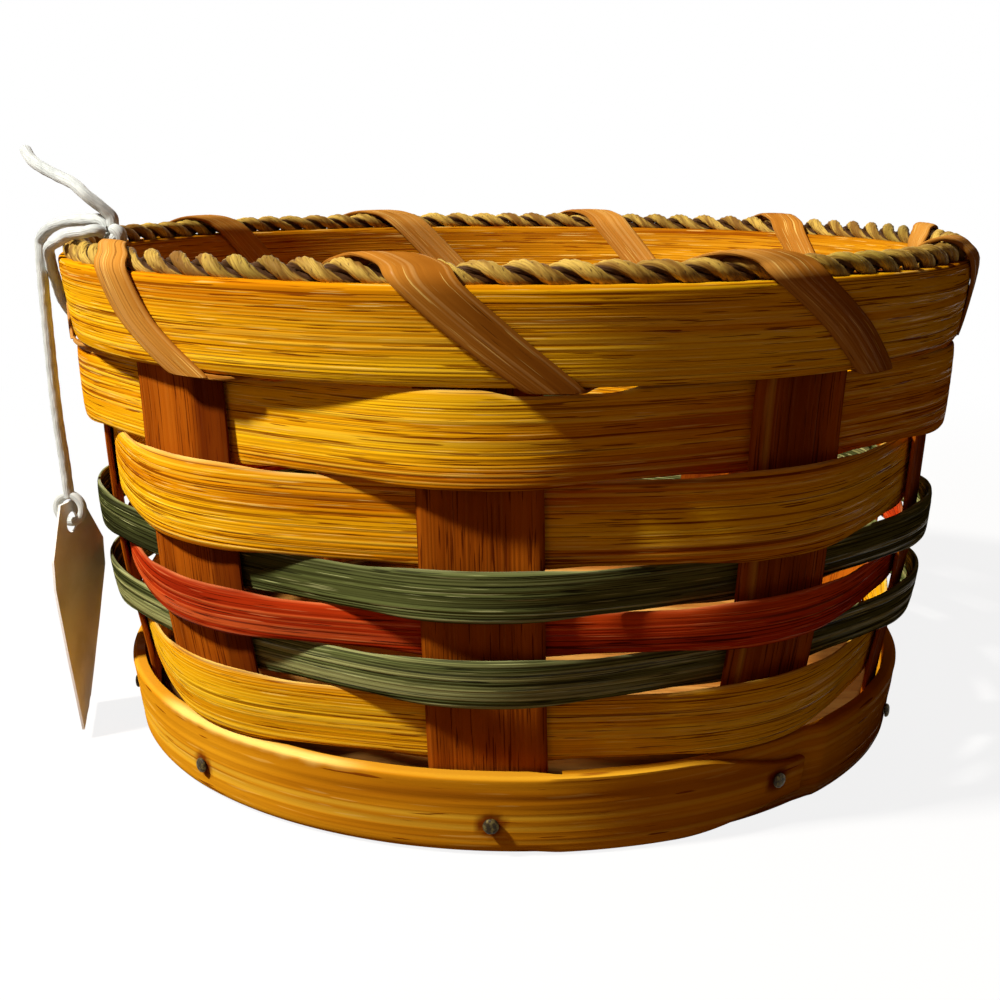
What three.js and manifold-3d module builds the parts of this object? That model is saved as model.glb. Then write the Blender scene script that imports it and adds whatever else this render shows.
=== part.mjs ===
// Round splint basket with a solid wooden bottom, a nailed base band, six woven rows,
// and a rim of two hoops with a twisted seagrass filler under one spiral lashing strip.
// Millimetres, +Z up, origin at the centre of the underside, front towards -Y.
import * as THREE from "three";
import { mergeVertices } from "three/addons/utils/BufferGeometryUtils.js";
import Module from "manifold-3d";

const wasm = await Module();
wasm.setup();

// General
const CLEARANCE = 0.3; // between two pieces that touch
const LAP_END_GAP = 0.5; // between the end of a lapped strip and the step beside it
const RING_STEP = 7.2; // degrees between two stations of a ring

// Stakes
const STAKE_PAIRS = 5; // an even count, so that every closed row ends in step
const STAKE_WIDTH = 20.5;
const STAKE_THICKNESS = 1.2;
const STAKE_FOOT_SETBACK = 0.8; // from the underside up to the stake ends
const STAKE_TOP_SETBACK = 1.2; // from the hoops' top edge down to the stake ends

// Side of the basket: radius of the stakes' mid plane from the foot to the lip
const FOOT_RADIUS = 79.6;
const BAND_TOP_RADIUS = 81.7;
const BELLY_RADIUS = 85.9;
const WAIST_RADIUS = 87.5;
const NECK_RADIUS = 88.8;
const LIP_RADIUS = 91.2;
const BELLY_SHARE = 0.4; // of the height of the side
const WAIST_SHARE = 0.6;

// Bottom
const BASE_THICKNESS = 10;
const BASE_EDGE_BREAK = 0.8;

// Base band
const BAND_HEIGHT = 16;
const BAND_THICKNESS = 2.7;
const BAND_FOOT_ROUNDING = 1.9;
const BAND_TOP_ROUNDING = 1.1;
const BAND_LAP_START = 10; // degrees
const BAND_LAP = 34; // degrees
const BAND_END_TAPER = 19; // degrees over which the outer end narrows
const BAND_END_DROP = 5; // off the top edge
const BAND_END_RISE = 3.2; // off the bottom edge

// Brads
const BRAD_HEAD_RADIUS = 1.45;
const BRAD_HEAD_HEIGHT = 0.85;
const BRAD_SHANK_RADIUS = 0.65;
const BRAD_LENGTH = 12;
const BRAD_POINT = 2;
const BRAD_HEIGHT = 6.6;
const BRAD_HOLE_DEPTH_SPARE = 1;
// Each brad was driven by hand: degrees off its stake's centre and millimetres off its height
const BRAD_DRIFT = [
  [1.5, -0.4],
  [3.2, 1.4],
  [-1.2, 0.3],
  [0.8, -0.6],
  [-2.1, 0.5],
  [1.9, 0.2],
  [-0.6, -0.5],
  [2.4, 0.6],
  [-1.7, 0.1],
  [-4.6, -0.4],
];

// Woven rows
const REED_THICKNESS = 1;
const TOP_REED = 14.6; // widths where two rows cross, halfway between stakes
const SECOND_REED = 14.7;
const GREEN_REED = 7.8;
const RED_REED = 7.6;
const FOOT_REED = 12.4;
const EDGE_SPREAD = 0.7; // how far each edge opens out again over and behind a stake
const BAND_GAP = 1; // between the base band and the lowest row
const WEAVE_SLACK = 0.6; // how far a row bows out past its stakes
const TOP_ROW_SLACK = 1.1;
const ROW_LAP_STAKES = 2; // stake spacings that a row laps over itself
const ROW_END_TUCK = 4; // degrees that a row's end runs on behind its last stake

// Rim
const HOOP_HEIGHT = 16.2;
const OUTER_HOOP_THICKNESS = 2.6;
const INNER_HOOP_THICKNESS = 2.2;
const HOOP_EDGE_BREAK = 0.6;
const OUTER_HOOP_LAP_START = 150; // degrees
const INNER_HOOP_LAP_START = 20;
const HOOP_LAP = 32;

// Seagrass filler
const SEAGRASS_STRAND_RADIUS = 1.12;
const SEAGRASS_TURNS = 31;
const SEAGRASS_STEPS_PER_TURN = 6;
const SEAGRASS_SIDES = 5;
const SEAGRASS_JOIN = 205; // degrees
const SEAGRASS_JOIN_GAP = 0.8;

// Lashing strip
const LASH_WIDTH = 8.4;
const LASH_THICKNESS = 0.8;
const LASH_SIDE_GAP = 1.2; // between the strip and the stake that it passes
const LASH_OUTSIDE_SHARE = 0.39; // of a stake spacing, gained on the way down outside
const LASH_UNDER_SHARE = 0.2;
const LASH_INSIDE_SHARE = 0.29;
const LASH_END_GAP = 1; // between the strip's two tucked ends

// String and tag
const STRING_RADIUS = 0.9;
const STRING_SIDES = 8;
const KNOT_RADIUS = 2.1;
const KNOT_AZIMUTH = -55.5; // degrees
const KNOT_REST = 150; // degrees round the filler, from level outwards
const HANG_AZIMUTH = -70;
const HANG_CLEAR = 1.9; // of the hanging strand, out past the run that hugs the rim
const EYE_RADIUS = 2.9; // of the string's eye through the tag, along its centre line
const EYE_STRING_RADIUS = 0.7;
const TAG_FOOT_HEIGHT = 2;
const TAG_LENGTH = 48;
const TAG_WIDTH = 20;
const TAG_TOP_WIDTH = 8;
const TAG_SHOULDER = 11; // length over which the cut corners reach the full width
const TAG_THICKNESS = 0.5;
const TAG_HOLE_RADIUS = 2.2;
const TAG_HOLE_INSET = 4.5; // from the tag's top edge to the middle of its hole
const TAG_INSET = 3.2; // of the tag, in from the line of the strand
const TAG_TURN = 81; // degrees from +X to the tag's width, seen from above
const TAG_CURL = 26; // degrees that the card has curled by its foot

// Derived sizes
const STAKE_COUNT = 2 * STAKE_PAIRS;
const PITCH = 360 / STAKE_COUNT;
const rad = THREE.MathUtils.degToRad;

// Rows from the foot up; each is opposite to its neighbours
const WEAVERS = [
  { name: "weaver_6_foot", width: FOOT_REED, lapStake: 4, slack: WEAVE_SLACK, look: "honey" },
  { name: "weaver_5_green", width: GREEN_REED, lapStake: 5, slack: WEAVE_SLACK, look: "green" },
  { name: "weaver_4_red", width: RED_REED, lapStake: 6, slack: WEAVE_SLACK, look: "red" },
  { name: "weaver_3_green", width: GREEN_REED, lapStake: 3, slack: WEAVE_SLACK, look: "green" },
  { name: "weaver_2_wide", width: SECOND_REED, lapStake: 4, slack: WEAVE_SLACK, look: "honey" },
  { name: "weaver_1_top", width: TOP_REED, lapStake: 5, slack: TOP_ROW_SLACK, look: "honey" },
];
let level = BAND_HEIGHT + BAND_GAP;
WEAVERS.forEach((row, i) => {
  row.bottom = level;
  row.top = level + row.width;
  row.overFront = i % 2 === 1;
  row.spreadTop = i === WEAVERS.length - 1 ? 0 : EDGE_SPREAD; // the lashing needs the room above the top row
  level = row.top + CLEARANCE;
});
const WEAVE_TOP = WEAVERS.at(-1).top;
const LASH_ROOM = LASH_THICKNESS + 2 * CLEARANCE;
const RIM_BOTTOM = WEAVE_TOP + LASH_ROOM;
const RIM_TOP = RIM_BOTTOM + HOOP_HEIGHT;

const wallCurve = new THREE.CubicInterpolant(
  [0, BAND_HEIGHT, BELLY_SHARE * RIM_TOP, WAIST_SHARE * RIM_TOP, RIM_BOTTOM, RIM_TOP],
  [FOOT_RADIUS, BAND_TOP_RADIUS, BELLY_RADIUS, WAIST_RADIUS, NECK_RADIUS, LIP_RADIUS],
  1,
);
// The stakes curve up to the rim and run straight between its hoops
const wallRadius = (z) =>
  z > RIM_BOTTOM
    ? THREE.MathUtils.mapLinear(z, RIM_BOTTOM, RIM_TOP, NECK_RADIUS, LIP_RADIUS)
    : wallCurve.evaluate(Math.max(z, 0))[0];

// A flat stake's corners stand further out than its middle
const cornerRise = (r) => Math.hypot(r, STAKE_WIDTH / 2) - r;
const stakeHalfAngle = (r) => Math.atan(STAKE_WIDTH / 2 / r);
const HALF_STAKE = STAKE_THICKNESS / 2;
const stakeCornerRadius = (z) => wallRadius(z) + HALF_STAKE + cornerRise(wallRadius(z) + HALF_STAKE);
// A faceted ring's flats lie a little inside the circle of its corners
const facetSag = (r) => r / Math.cos(rad(RING_STEP / 2)) - r;
const outerSeat = (z) => stakeCornerRadius(z) + CLEARANCE + facetSag(stakeCornerRadius(z));
const innerSeat = (z) => wallRadius(z) - HALF_STAKE - CLEARANCE;

// A point at an azimuth counted from the front, counter-clockwise from above
const at = (degrees, r, z) => new THREE.Vector3(r * Math.sin(rad(degrees)), -r * Math.cos(rad(degrees)), z);

// Closed solid through a row of equal convex sections, with end caps or joined into a loop
function skin(sections, looped = false) {
  const sides = sections[0].length;
  const index = [];
  const spans = looped ? sections.length : sections.length - 1;
  for (let i = 0; i < spans; i++) {
    const a = i * sides;
    const b = ((i + 1) % sections.length) * sides;
    for (let k = 0; k < sides; k++) {
      const n = (k + 1) % sides;
      index.push(a + k, b + k, b + n, a + k, b + n, a + n);
    }
  }
  const last = (sections.length - 1) * sides;
  for (let k = 1; !looped && k < sides - 1; k++) {
    index.push(0, k, k + 1, last, last + k + 1, last + k);
  }
  return outward(new THREE.BufferGeometry().setFromPoints(sections.flat()).setIndex(index));
}

// The same closed surface with its faces pointing out
function outward(geometry) {
  const p = geometry.getAttribute("position");
  const index = geometry.index.array;
  const corner = [0, 1, 2].map(() => new THREE.Vector3());
  let volume = 0;
  for (let i = 0; i < index.length; i += 3) {
    corner.forEach((v, k) => v.fromBufferAttribute(p, index[i + k]));
    volume += corner[0].dot(corner[1].cross(corner[2]));
  }
  if (volume < 0) {
    for (let i = 0; i < index.length; i += 3) {
      [index[i + 1], index[i + 2]] = [index[i + 2], index[i + 1]];
    }
  }
  return geometry;
}

function solidOf(geometry) {
  const bare = geometry.clone();
  bare.deleteAttribute("normal");
  bare.deleteAttribute("uv");
  const merged = mergeVertices(bare, 1e-4);
  return new wasm.Manifold(
    new wasm.Mesh({
      numProp: 3,
      vertProperties: new Float32Array(merged.getAttribute("position").array),
      triVerts: new Uint32Array(merged.index.array),
    }),
  );
}

function geometryOf(solid) {
  const mesh = solid.getMesh();
  const geometry = new THREE.BufferGeometry();
  geometry.setAttribute("position", new THREE.BufferAttribute(mesh.vertProperties, 3));
  geometry.setIndex(new THREE.BufferAttribute(mesh.triVerts, 1));
  geometry.computeVertexNormals();
  return geometry;
}

const cutAll = (geometry, cutters) =>
  geometryOf(cutters.reduce((solid, cutter) => solid.subtract(cutter), solidOf(geometry)));

// Stations of a ring that laps over itself, and how much of its thickness each station has.
// Both ends are pared to half, so the lap is no thicker than the rest.
function lappedStations(start, lap, radius, steps = RING_STEP) {
  const gap = THREE.MathUtils.radToDeg(LAP_END_GAP / radius);
  const paring = steps / 2;
  const marks = [lap + gap, lap + gap + paring, 360 - gap - paring, 360 - gap];
  const count = Math.round((360 + lap) / steps);
  const angles = Array.from({ length: count + 1 }, (_, i) => (i * (360 + lap)) / count);
  const clear = (a) => marks.every((m) => Math.abs(m - a) > steps / 4);
  return [...angles.filter(clear), ...marks]
    .sort((a, b) => a - b)
    .map((a) => ({
      turn: a,
      azimuth: start + a,
      outer: THREE.MathUtils.clamp((a - marks[0]) / paring, 0, 1),
      inner: THREE.MathUtils.clamp((marks[3] - a) / paring, 0, 1),
    }));
}
const paredFaces = (station, thickness) => ({
  inner: THREE.MathUtils.lerp(CLEARANCE / 2, -thickness / 2, station.inner),
  outer: THREE.MathUtils.lerp(-CLEARANCE / 2, thickness / 2, station.outer),
});

// One woven row: over one stake, behind the next. It starts and ends behind a stake.
function weaver(row) {
  const r = wallRadius((row.bottom + row.top) / 2);
  const atCorner = Math.cos(STAKE_PAIRS * stakeHalfAngle(r));
  const behind = HALF_STAKE + CLEARANCE + REED_THICKNESS / 2;
  const over = behind + cornerRise(r) + facetSag(r);
  const bow = (over - behind * atCorner) / (atCorner + atCorner ** 2) + row.slack / 2;
  const swing = behind + bow;
  const lapStake = row.lapStake + (row.overFront === (row.lapStake % 2 === 0) ? 1 : 0);
  const lapStart = lapStake * PITCH - ROW_END_TUCK;
  const stations = lappedStations(lapStart, ROW_LAP_STAKES * PITCH + 2 * ROW_END_TUCK, r);
  const sections = stations.map((station) => {
    const wave = Math.cos(STAKE_PAIRS * rad(station.azimuth)) * (row.overFront ? 1 : -1);
    const lift = swing * wave + bow * wave * wave;
    const open = THREE.MathUtils.smoothstep(Math.abs(wave), 0.4, 0.95);
    const low = row.bottom - EDGE_SPREAD * open;
    const high = row.top + row.spreadTop * open;
    const face = paredFaces(station, REED_THICKNESS);
    return [
      at(station.azimuth, wallRadius(low) + lift + face.inner, low),
      at(station.azimuth, wallRadius(low) + lift + face.outer, low),
      at(station.azimuth, wallRadius(high) + lift + face.outer, high),
      at(station.azimuth, wallRadius(high) + lift + face.inner, high),
    ];
  });
  return skin(sections);
}

// One rim hoop: a flat strip with broken edges that follows the flare of the lip
function hoop(seat, thickness, direction, lapStart) {
  const middle = (z) => seat(z) + (direction * thickness) / 2;
  const sections = lappedStations(lapStart, HOOP_LAP, LIP_RADIUS).map((station) => {
    const face = paredFaces(station, thickness);
    const edge = Math.min(HOOP_EDGE_BREAK, (face.outer - face.inner) / 3);
    const shown = direction > 0 ? face.outer : face.inner;
    const hidden = direction > 0 ? face.inner : face.outer;
    return [
      at(station.azimuth, middle(RIM_BOTTOM) + hidden, RIM_BOTTOM),
      at(station.azimuth, middle(RIM_BOTTOM) + shown - direction * edge, RIM_BOTTOM),
      at(station.azimuth, middle(RIM_BOTTOM) + shown, RIM_BOTTOM + edge),
      at(station.azimuth, middle(RIM_TOP) + shown, RIM_TOP - edge),
      at(station.azimuth, middle(RIM_TOP) + shown - direction * edge, RIM_TOP),
      at(station.azimuth, middle(RIM_TOP) + hidden, RIM_TOP),
    ];
  });
  return skin(sections);
}

// Base band: rounded on its outer edges, its outer end tapered where it laps in view
function baseBand() {
  const bandMiddle = (z) => outerSeat(z) + BAND_THICKNESS / 2;
  const sections = lappedStations(BAND_LAP_START, BAND_LAP, BAND_TOP_RADIUS).map((station) => {
    const face = paredFaces(station, BAND_THICKNESS);
    const thick = (face.outer - face.inner) / BAND_THICKNESS;
    const taper = THREE.MathUtils.smoothstep(station.turn, 360 + BAND_LAP - BAND_END_TAPER, 360 + BAND_LAP);
    const low = BAND_END_RISE * taper;
    const high = BAND_HEIGHT - BAND_END_DROP * taper;
    const foot = BAND_FOOT_ROUNDING * Math.min(1, thick * 1.2);
    const brow = BAND_TOP_ROUNDING * Math.min(1, thick * 1.2);
    const bow = 1 - Math.SQRT1_2;
    const point = (offset, z) => at(station.azimuth, bandMiddle(z) + offset, z);
    return [
      point(face.inner, low),
      point(face.outer - foot, low),
      point(face.outer - foot * bow, low + foot * bow),
      point(face.outer, low + foot),
      point(face.outer, high - brow),
      point(face.outer - brow * bow, high - brow * bow),
      point(face.outer - brow, high),
      point(face.inner, high),
    ];
  });
  return skin(sections);
}

// Wooden bottom, its edge sloped like the stakes that are nailed to it
function baseDisc() {
  const edge = (z) => innerSeat(z);
  const profile = [
    new THREE.Vector2(0, 0),
    new THREE.Vector2(edge(0) - BASE_EDGE_BREAK, 0),
    new THREE.Vector2(edge(BASE_EDGE_BREAK), BASE_EDGE_BREAK),
    new THREE.Vector2(edge(BASE_THICKNESS - BASE_EDGE_BREAK), BASE_THICKNESS - BASE_EDGE_BREAK),
    new THREE.Vector2(edge(BASE_THICKNESS) - BASE_EDGE_BREAK, BASE_THICKNESS),
    new THREE.Vector2(0, BASE_THICKNESS),
  ];
  return new THREE.LatheGeometry(profile, 360 / RING_STEP).rotateX(Math.PI / 2);
}

// Flat stake: its side view extruded across its width
function stake() {
  const low = STAKE_FOOT_SETBACK;
  const high = RIM_TOP - STAKE_TOP_SETBACK;
  const heights = Array.from({ length: 10 }, (_, i) => THREE.MathUtils.lerp(low, high, i / 9));
  const outer = heights.map((z) => new THREE.Vector2(wallRadius(z) + HALF_STAKE, z));
  const inner = heights.map((z) => new THREE.Vector2(wallRadius(z) - HALF_STAKE, z));
  const side = new THREE.Shape([...outer, ...inner.reverse()]);
  const strip = new THREE.ExtrudeGeometry(side, { depth: STAKE_WIDTH, bevelEnabled: false });
  strip.translate(0, 0, -STAKE_WIDTH / 2);
  return strip.rotateX(Math.PI / 2).rotateZ(-Math.PI / 2);
}

// Where each brad enters: its azimuth, its height and the radius of the band's face there
const brads = Array.from({ length: STAKE_COUNT }, (_, i) => {
  const [turn, lift] = BRAD_DRIFT[i % BRAD_DRIFT.length];
  const z = BRAD_HEIGHT + lift;
  const lean = Math.abs((BRAD_HEAD_RADIUS * (outerSeat(z + 1) - outerSeat(z - 1))) / 2);
  return { azimuth: i * PITCH + turn, z, seat: outerSeat(z) + BAND_THICKNESS + lean + CLEARANCE / 2 };
});
function brad() {
  const profile = [
    new THREE.Vector2(0, -BRAD_LENGTH),
    new THREE.Vector2(BRAD_SHANK_RADIUS, -BRAD_LENGTH + BRAD_POINT),
    new THREE.Vector2(BRAD_SHANK_RADIUS, 0),
    new THREE.Vector2(BRAD_HEAD_RADIUS, 0),
    new THREE.Vector2(BRAD_HEAD_RADIUS, BRAD_HEAD_HEIGHT * 0.35),
    new THREE.Vector2(BRAD_HEAD_RADIUS * 0.66, BRAD_HEAD_HEIGHT * 0.85),
    new THREE.Vector2(0, BRAD_HEAD_HEIGHT),
  ];
  return new THREE.LatheGeometry(profile, 8);
}
function placeBrad(object, spot) {
  object.position.copy(at(spot.azimuth, spot.seat, spot.z));
  object.quaternion.setFromUnitVectors(new THREE.Vector3(0, 1, 0), at(spot.azimuth, 1, 0));
}
const bradHoles = brads.map((spot) => {
  const reach = BRAD_LENGTH + BRAD_HOLE_DEPTH_SPARE;
  const bore = new THREE.CylinderGeometry(
    BRAD_SHANK_RADIUS + CLEARANCE,
    BRAD_SHANK_RADIUS + CLEARANCE,
    reach + BRAD_HEAD_HEIGHT,
    8,
  );
  bore.translate(0, (BRAD_HEAD_HEIGHT - reach) / 2, 0);
  const holder = new THREE.Object3D();
  placeBrad(holder, spot);
  holder.updateMatrix();
  return solidOf(bore.applyMatrix4(holder.matrix));
});

// Seagrass filler: two strands laid round each other on top of the hoops
const SEAGRASS_OFFSET = SEAGRASS_STRAND_RADIUS + CLEARANCE / 2;
const ROPE_RADIUS = SEAGRASS_OFFSET + SEAGRASS_STRAND_RADIUS;
const RIM_OUTER = outerSeat(RIM_TOP) + OUTER_HOOP_THICKNESS;
const RIM_INNER = innerSeat(RIM_TOP) - INNER_HOOP_THICKNESS;
const ROPE_CENTRE_RADIUS = (RIM_OUTER + RIM_INNER) / 2;
const ROPE_CENTRE_HEIGHT = RIM_TOP + CLEARANCE + ROPE_RADIUS;
function seagrassStrand(phase) {
  const steps = SEAGRASS_TURNS * SEAGRASS_STEPS_PER_TURN;
  const joinGap = SEAGRASS_JOIN_GAP / ROPE_CENTRE_RADIUS;
  const centre = (t) => {
    const turn = t * (2 * Math.PI - joinGap);
    const lay = SEAGRASS_TURNS * turn + phase;
    const azimuth = SEAGRASS_JOIN + THREE.MathUtils.radToDeg(turn);
    const r = ROPE_CENTRE_RADIUS + SEAGRASS_OFFSET * Math.cos(lay);
    return at(azimuth, r, ROPE_CENTRE_HEIGHT + SEAGRASS_OFFSET * Math.sin(lay));
  };
  const sections = Array.from({ length: steps + 1 }, (_, i) => {
    const t = i / steps;
    const here = centre(t);
    const ahead = centre(t + 1e-4).sub(centre(t - 1e-4)).normalize();
    const side = new THREE.Vector3(here.x, here.y, 0).normalize();
    side.addScaledVector(ahead, -side.dot(ahead)).normalize();
    const up = new THREE.Vector3().crossVectors(ahead, side);
    return Array.from({ length: SEAGRASS_SIDES }, (_, k) => {
      const a = (2 * Math.PI * k) / SEAGRASS_SIDES;
      return here
        .clone()
        .addScaledVector(side, SEAGRASS_STRAND_RADIUS * Math.cos(a))
        .addScaledVector(up, SEAGRASS_STRAND_RADIUS * Math.sin(a));
    });
  });
  return skin(sections);
}

// Between two of its sections the strip runs straight, a little inside its circle
const LASH_SAG = facetSag(RIM_OUTER);

// Lashing strip: down outside, in under the hoops between two stakes, up inside and over the filler
function lashing() {
  const off = CLEARANCE + LASH_THICKNESS / 2;
  const beside = off + LASH_SAG;
  const hug = off * Math.SQRT1_2;
  const outside = (z) => outerSeat(z) + OUTER_HOOP_THICKNESS;
  const inside = (z) => innerSeat(z) - INNER_HOOP_THICKNESS;
  const middleHeight = (RIM_TOP + RIM_BOTTOM) / 2;
  const gainOutside = LASH_OUTSIDE_SHARE * rad(PITCH) * RIM_OUTER;
  const slant = LASH_WIDTH / 2 / Math.sin(Math.atan2(HOOP_HEIGHT, gainOutside));
  const under = LASH_WIDTH / 2;
  // Share of the stake spacing that the strip has gained part of the way through each run
  const down = (part) => LASH_OUTSIDE_SHARE * part;
  const across = (part) => down(1) + LASH_UNDER_SHARE * part;
  const up = (part) => across(1) + LASH_INSIDE_SHARE * part;
  const over = (part) => up(1) + (1 - up(1)) * part;
  const crown = (degrees, part) => [
    ROPE_CENTRE_RADIUS + (ROPE_RADIUS + off) * Math.cos(rad(degrees)),
    ROPE_CENTRE_HEIGHT + (ROPE_RADIUS + off) * Math.sin(rad(degrees)),
    over(part),
    slant,
  ];
  // Radius, height, gained share and half width of each section in one turn
  const crossings = [
    [outside(RIM_TOP) + beside, RIM_TOP, 0, slant],
    [outside(middleHeight) + beside, middleHeight, down(0.5), slant],
    [outside(RIM_BOTTOM) + beside, RIM_BOTTOM, down(1), slant * 0.92],
    [outside(RIM_BOTTOM) + hug + LASH_SAG, RIM_BOTTOM - hug, across(0.08), under * 1.1],
    [outside(RIM_BOTTOM) - HOOP_EDGE_BREAK, RIM_BOTTOM - off, across(0.3), under],
    [wallRadius(RIM_BOTTOM), RIM_BOTTOM - off, across(0.58), under],
    [inside(RIM_BOTTOM) + HOOP_EDGE_BREAK, RIM_BOTTOM - off, across(0.85), under],
    [inside(RIM_BOTTOM) - hug - LASH_SAG, RIM_BOTTOM - hug, across(1), under * 1.1],
    [inside(RIM_BOTTOM) - beside, RIM_BOTTOM, up(0), slant * 0.92],
    [inside(middleHeight) - beside, middleHeight, up(0.5), slant],
    [inside(RIM_TOP) - beside, RIM_TOP, up(1), slant],
    crown(150, 0.2),
    crown(120, 0.38),
    crown(90, 0.54),
    crown(60, 0.7),
    crown(30, 0.86),
  ];
  const crossingAtWall = THREE.MathUtils.radToDeg((STAKE_WIDTH / 2 + LASH_SIDE_GAP + under) / NECK_RADIUS);
  const start = crossingAtWall - PITCH * across(0.58);
  const sections = [];
  const total = STAKE_COUNT * crossings.length;
  const first = 9; // the strip starts and ends halfway up inside
  for (let i = 0; i <= total; i++) {
    const step = i + first;
    const lap = Math.floor(step / crossings.length);
    const k = step % crossings.length;
    const next = crossings[(k + 1) % crossings.length];
    const before = crossings[(k + crossings.length - 1) % crossings.length];
    const [r, z, gained, half] = crossings[k];
    const along = new THREE.Vector2(next[0] - before[0], next[1] - before[1]).normalize();
    const out = new THREE.Vector2(-along.y, along.x).multiplyScalar(LASH_THICKNESS / 2);
    const rise = i === 0 ? LASH_END_GAP / 2 : i === total ? -LASH_END_GAP / 2 : 0;
    const azimuth = start + PITCH * (lap + gained);
    const spread = THREE.MathUtils.radToDeg(half / RIM_OUTER);
    const row = (side) =>
      [-spread, 0, spread].map((w) => at(azimuth + w, r + side * out.x, z + rise + side * out.y));
    sections.push([...row(1), ...row(-1).reverse()]);
  }
  return skin(sections);
}

// Radii at which the string passes the rim clear of the lashing, and its height over the filler
const STRING_ROOM = LASH_THICKNESS + LASH_SAG + 2 * CLEARANCE + STRING_RADIUS;
const outerPass = (z) => outerSeat(z) + OUTER_HOOP_THICKNESS + STRING_ROOM;
const innerPass = (z) => innerSeat(z) - INNER_HOOP_THICKNESS - STRING_ROOM;
const TUCK_HEIGHT = RIM_BOTTOM - CLEARANCE - STRING_RADIUS;
const HANG_RADIUS = outerPass(RIM_TOP) + HANG_CLEAR;
const HANG_HEIGHT = RIM_TOP;

// A point beside the filler: azimuth, angle round the filler and distance from its middle
function aroundFiller(azimuth, degrees, reach) {
  const r = ROPE_CENTRE_RADIUS + reach * Math.cos(rad(degrees));
  return at(azimuth, r, ROPE_CENTRE_HEIGHT + reach * Math.sin(rad(degrees)));
}
const STRING_REACH = ROPE_RADIUS + CLEARANCE + STRING_RADIUS;
const KNOT_SPOT = aroundFiller(KNOT_AZIMUTH, KNOT_REST, ROPE_RADIUS + CLEARANCE + KNOT_RADIUS);

// The way out of the knot, its direction given as outward, sideways and up
function fromKnot(outwards, sideways, up) {
  const direction = at(KNOT_AZIMUTH, outwards, up).add(at(KNOT_AZIMUTH + 90, sideways, 0)).normalize();
  const reaches = [KNOT_RADIUS + CLEARANCE, KNOT_RADIUS + 1.6];
  return reaches.map((reach) => KNOT_SPOT.clone().addScaledVector(direction, reach));
}

// A tube along a smooth curve
function stringAlong(points, steps) {
  const curve = new THREE.CatmullRomCurve3(points, false, "centripetal");
  const ring = Array.from({ length: STRING_SIDES }, (_, k) => {
    const a = (2 * Math.PI * k) / STRING_SIDES;
    return new THREE.Vector2(STRING_RADIUS * Math.cos(a), STRING_RADIUS * Math.sin(a));
  });
  return new THREE.ExtrudeGeometry(new THREE.Shape(ring), { steps, bevelEnabled: false, extrudePath: curve });
}

// Short stiff end that stands up out of the knot
const stringTail = () =>
  stringAlong(
    [
      ...fromKnot(-0.3, 0.45, 0.84),
      at(KNOT_AZIMUTH + 0.6, ROPE_CENTRE_RADIUS - 4.6, RIM_TOP + 10.5),
      at(KNOT_AZIMUTH - 1.4, ROPE_CENTRE_RADIUS - 1.6, RIM_TOP + 13.2),
      at(KNOT_AZIMUTH - 4, ROPE_CENTRE_RADIUS + 3.4, RIM_TOP + 15.2),
      at(KNOT_AZIMUTH - 6, ROPE_CENTRE_RADIUS + 8.2, RIM_TOP + 18),
      at(KNOT_AZIMUTH - 7.5, ROPE_CENTRE_RADIUS + 11.7, RIM_TOP + 21.9),
    ],
    14,
  );
// Over the rim, down outside across the lashing, and tucked in under the outer hoop
const stringOuterRun = () =>
  stringAlong(
    [
      ...fromKnot(0.93, 0.05, 0.37),
      aroundFiller(KNOT_AZIMUTH - 1.8, 88, STRING_REACH + 0.1),
      aroundFiller(KNOT_AZIMUTH - 4.2, 62, STRING_REACH + 0.1),
      aroundFiller(KNOT_AZIMUTH - 6.8, 34, STRING_REACH + 0.3),
      at(KNOT_AZIMUTH - 9.4, outerPass(RIM_TOP) - 0.9, RIM_TOP + 2.2),
      at(KNOT_AZIMUTH - 12, outerPass(RIM_TOP) - 0.6, RIM_TOP - 1),
      at(KNOT_AZIMUTH - 17, outerPass(RIM_TOP - 6) + 0.1, RIM_TOP - 6),
      at(KNOT_AZIMUTH - 23, outerPass(RIM_TOP - 11), RIM_TOP - 11),
      at(KNOT_AZIMUTH - 28, outerPass(RIM_BOTTOM) - 0.2, RIM_BOTTOM + 0.5),
      at(KNOT_AZIMUTH - 31, outerSeat(RIM_BOTTOM) + 2.9, TUCK_HEIGHT - 0.3),
      at(KNOT_AZIMUTH - 32, outerSeat(RIM_BOTTOM) + 0.9, TUCK_HEIGHT),
    ],
    24,
  );
// From the knot down inside, and tucked in under the inner hoop towards the outer run
const stringInnerRun = () =>
  stringAlong(
    [
      ...fromKnot(-0.35, -0.35, -0.87),
      at(KNOT_AZIMUTH - 4, innerPass(RIM_TOP - 3), RIM_TOP - 3),
      at(KNOT_AZIMUTH - 13, innerPass(RIM_TOP - 9), RIM_TOP - 9),
      at(KNOT_AZIMUTH - 24, innerPass(RIM_BOTTOM + 3), RIM_BOTTOM + 3),
      at(KNOT_AZIMUTH - 29, innerPass(RIM_BOTTOM) + 0.4, RIM_BOTTOM - 1),
      at(KNOT_AZIMUTH - 31.5, innerSeat(RIM_BOTTOM) - 1.6, TUCK_HEIGHT - 0.2),
      at(KNOT_AZIMUTH - 32, innerSeat(RIM_BOTTOM) - 0.4, TUCK_HEIGHT),
    ],
    18,
  );
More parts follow.
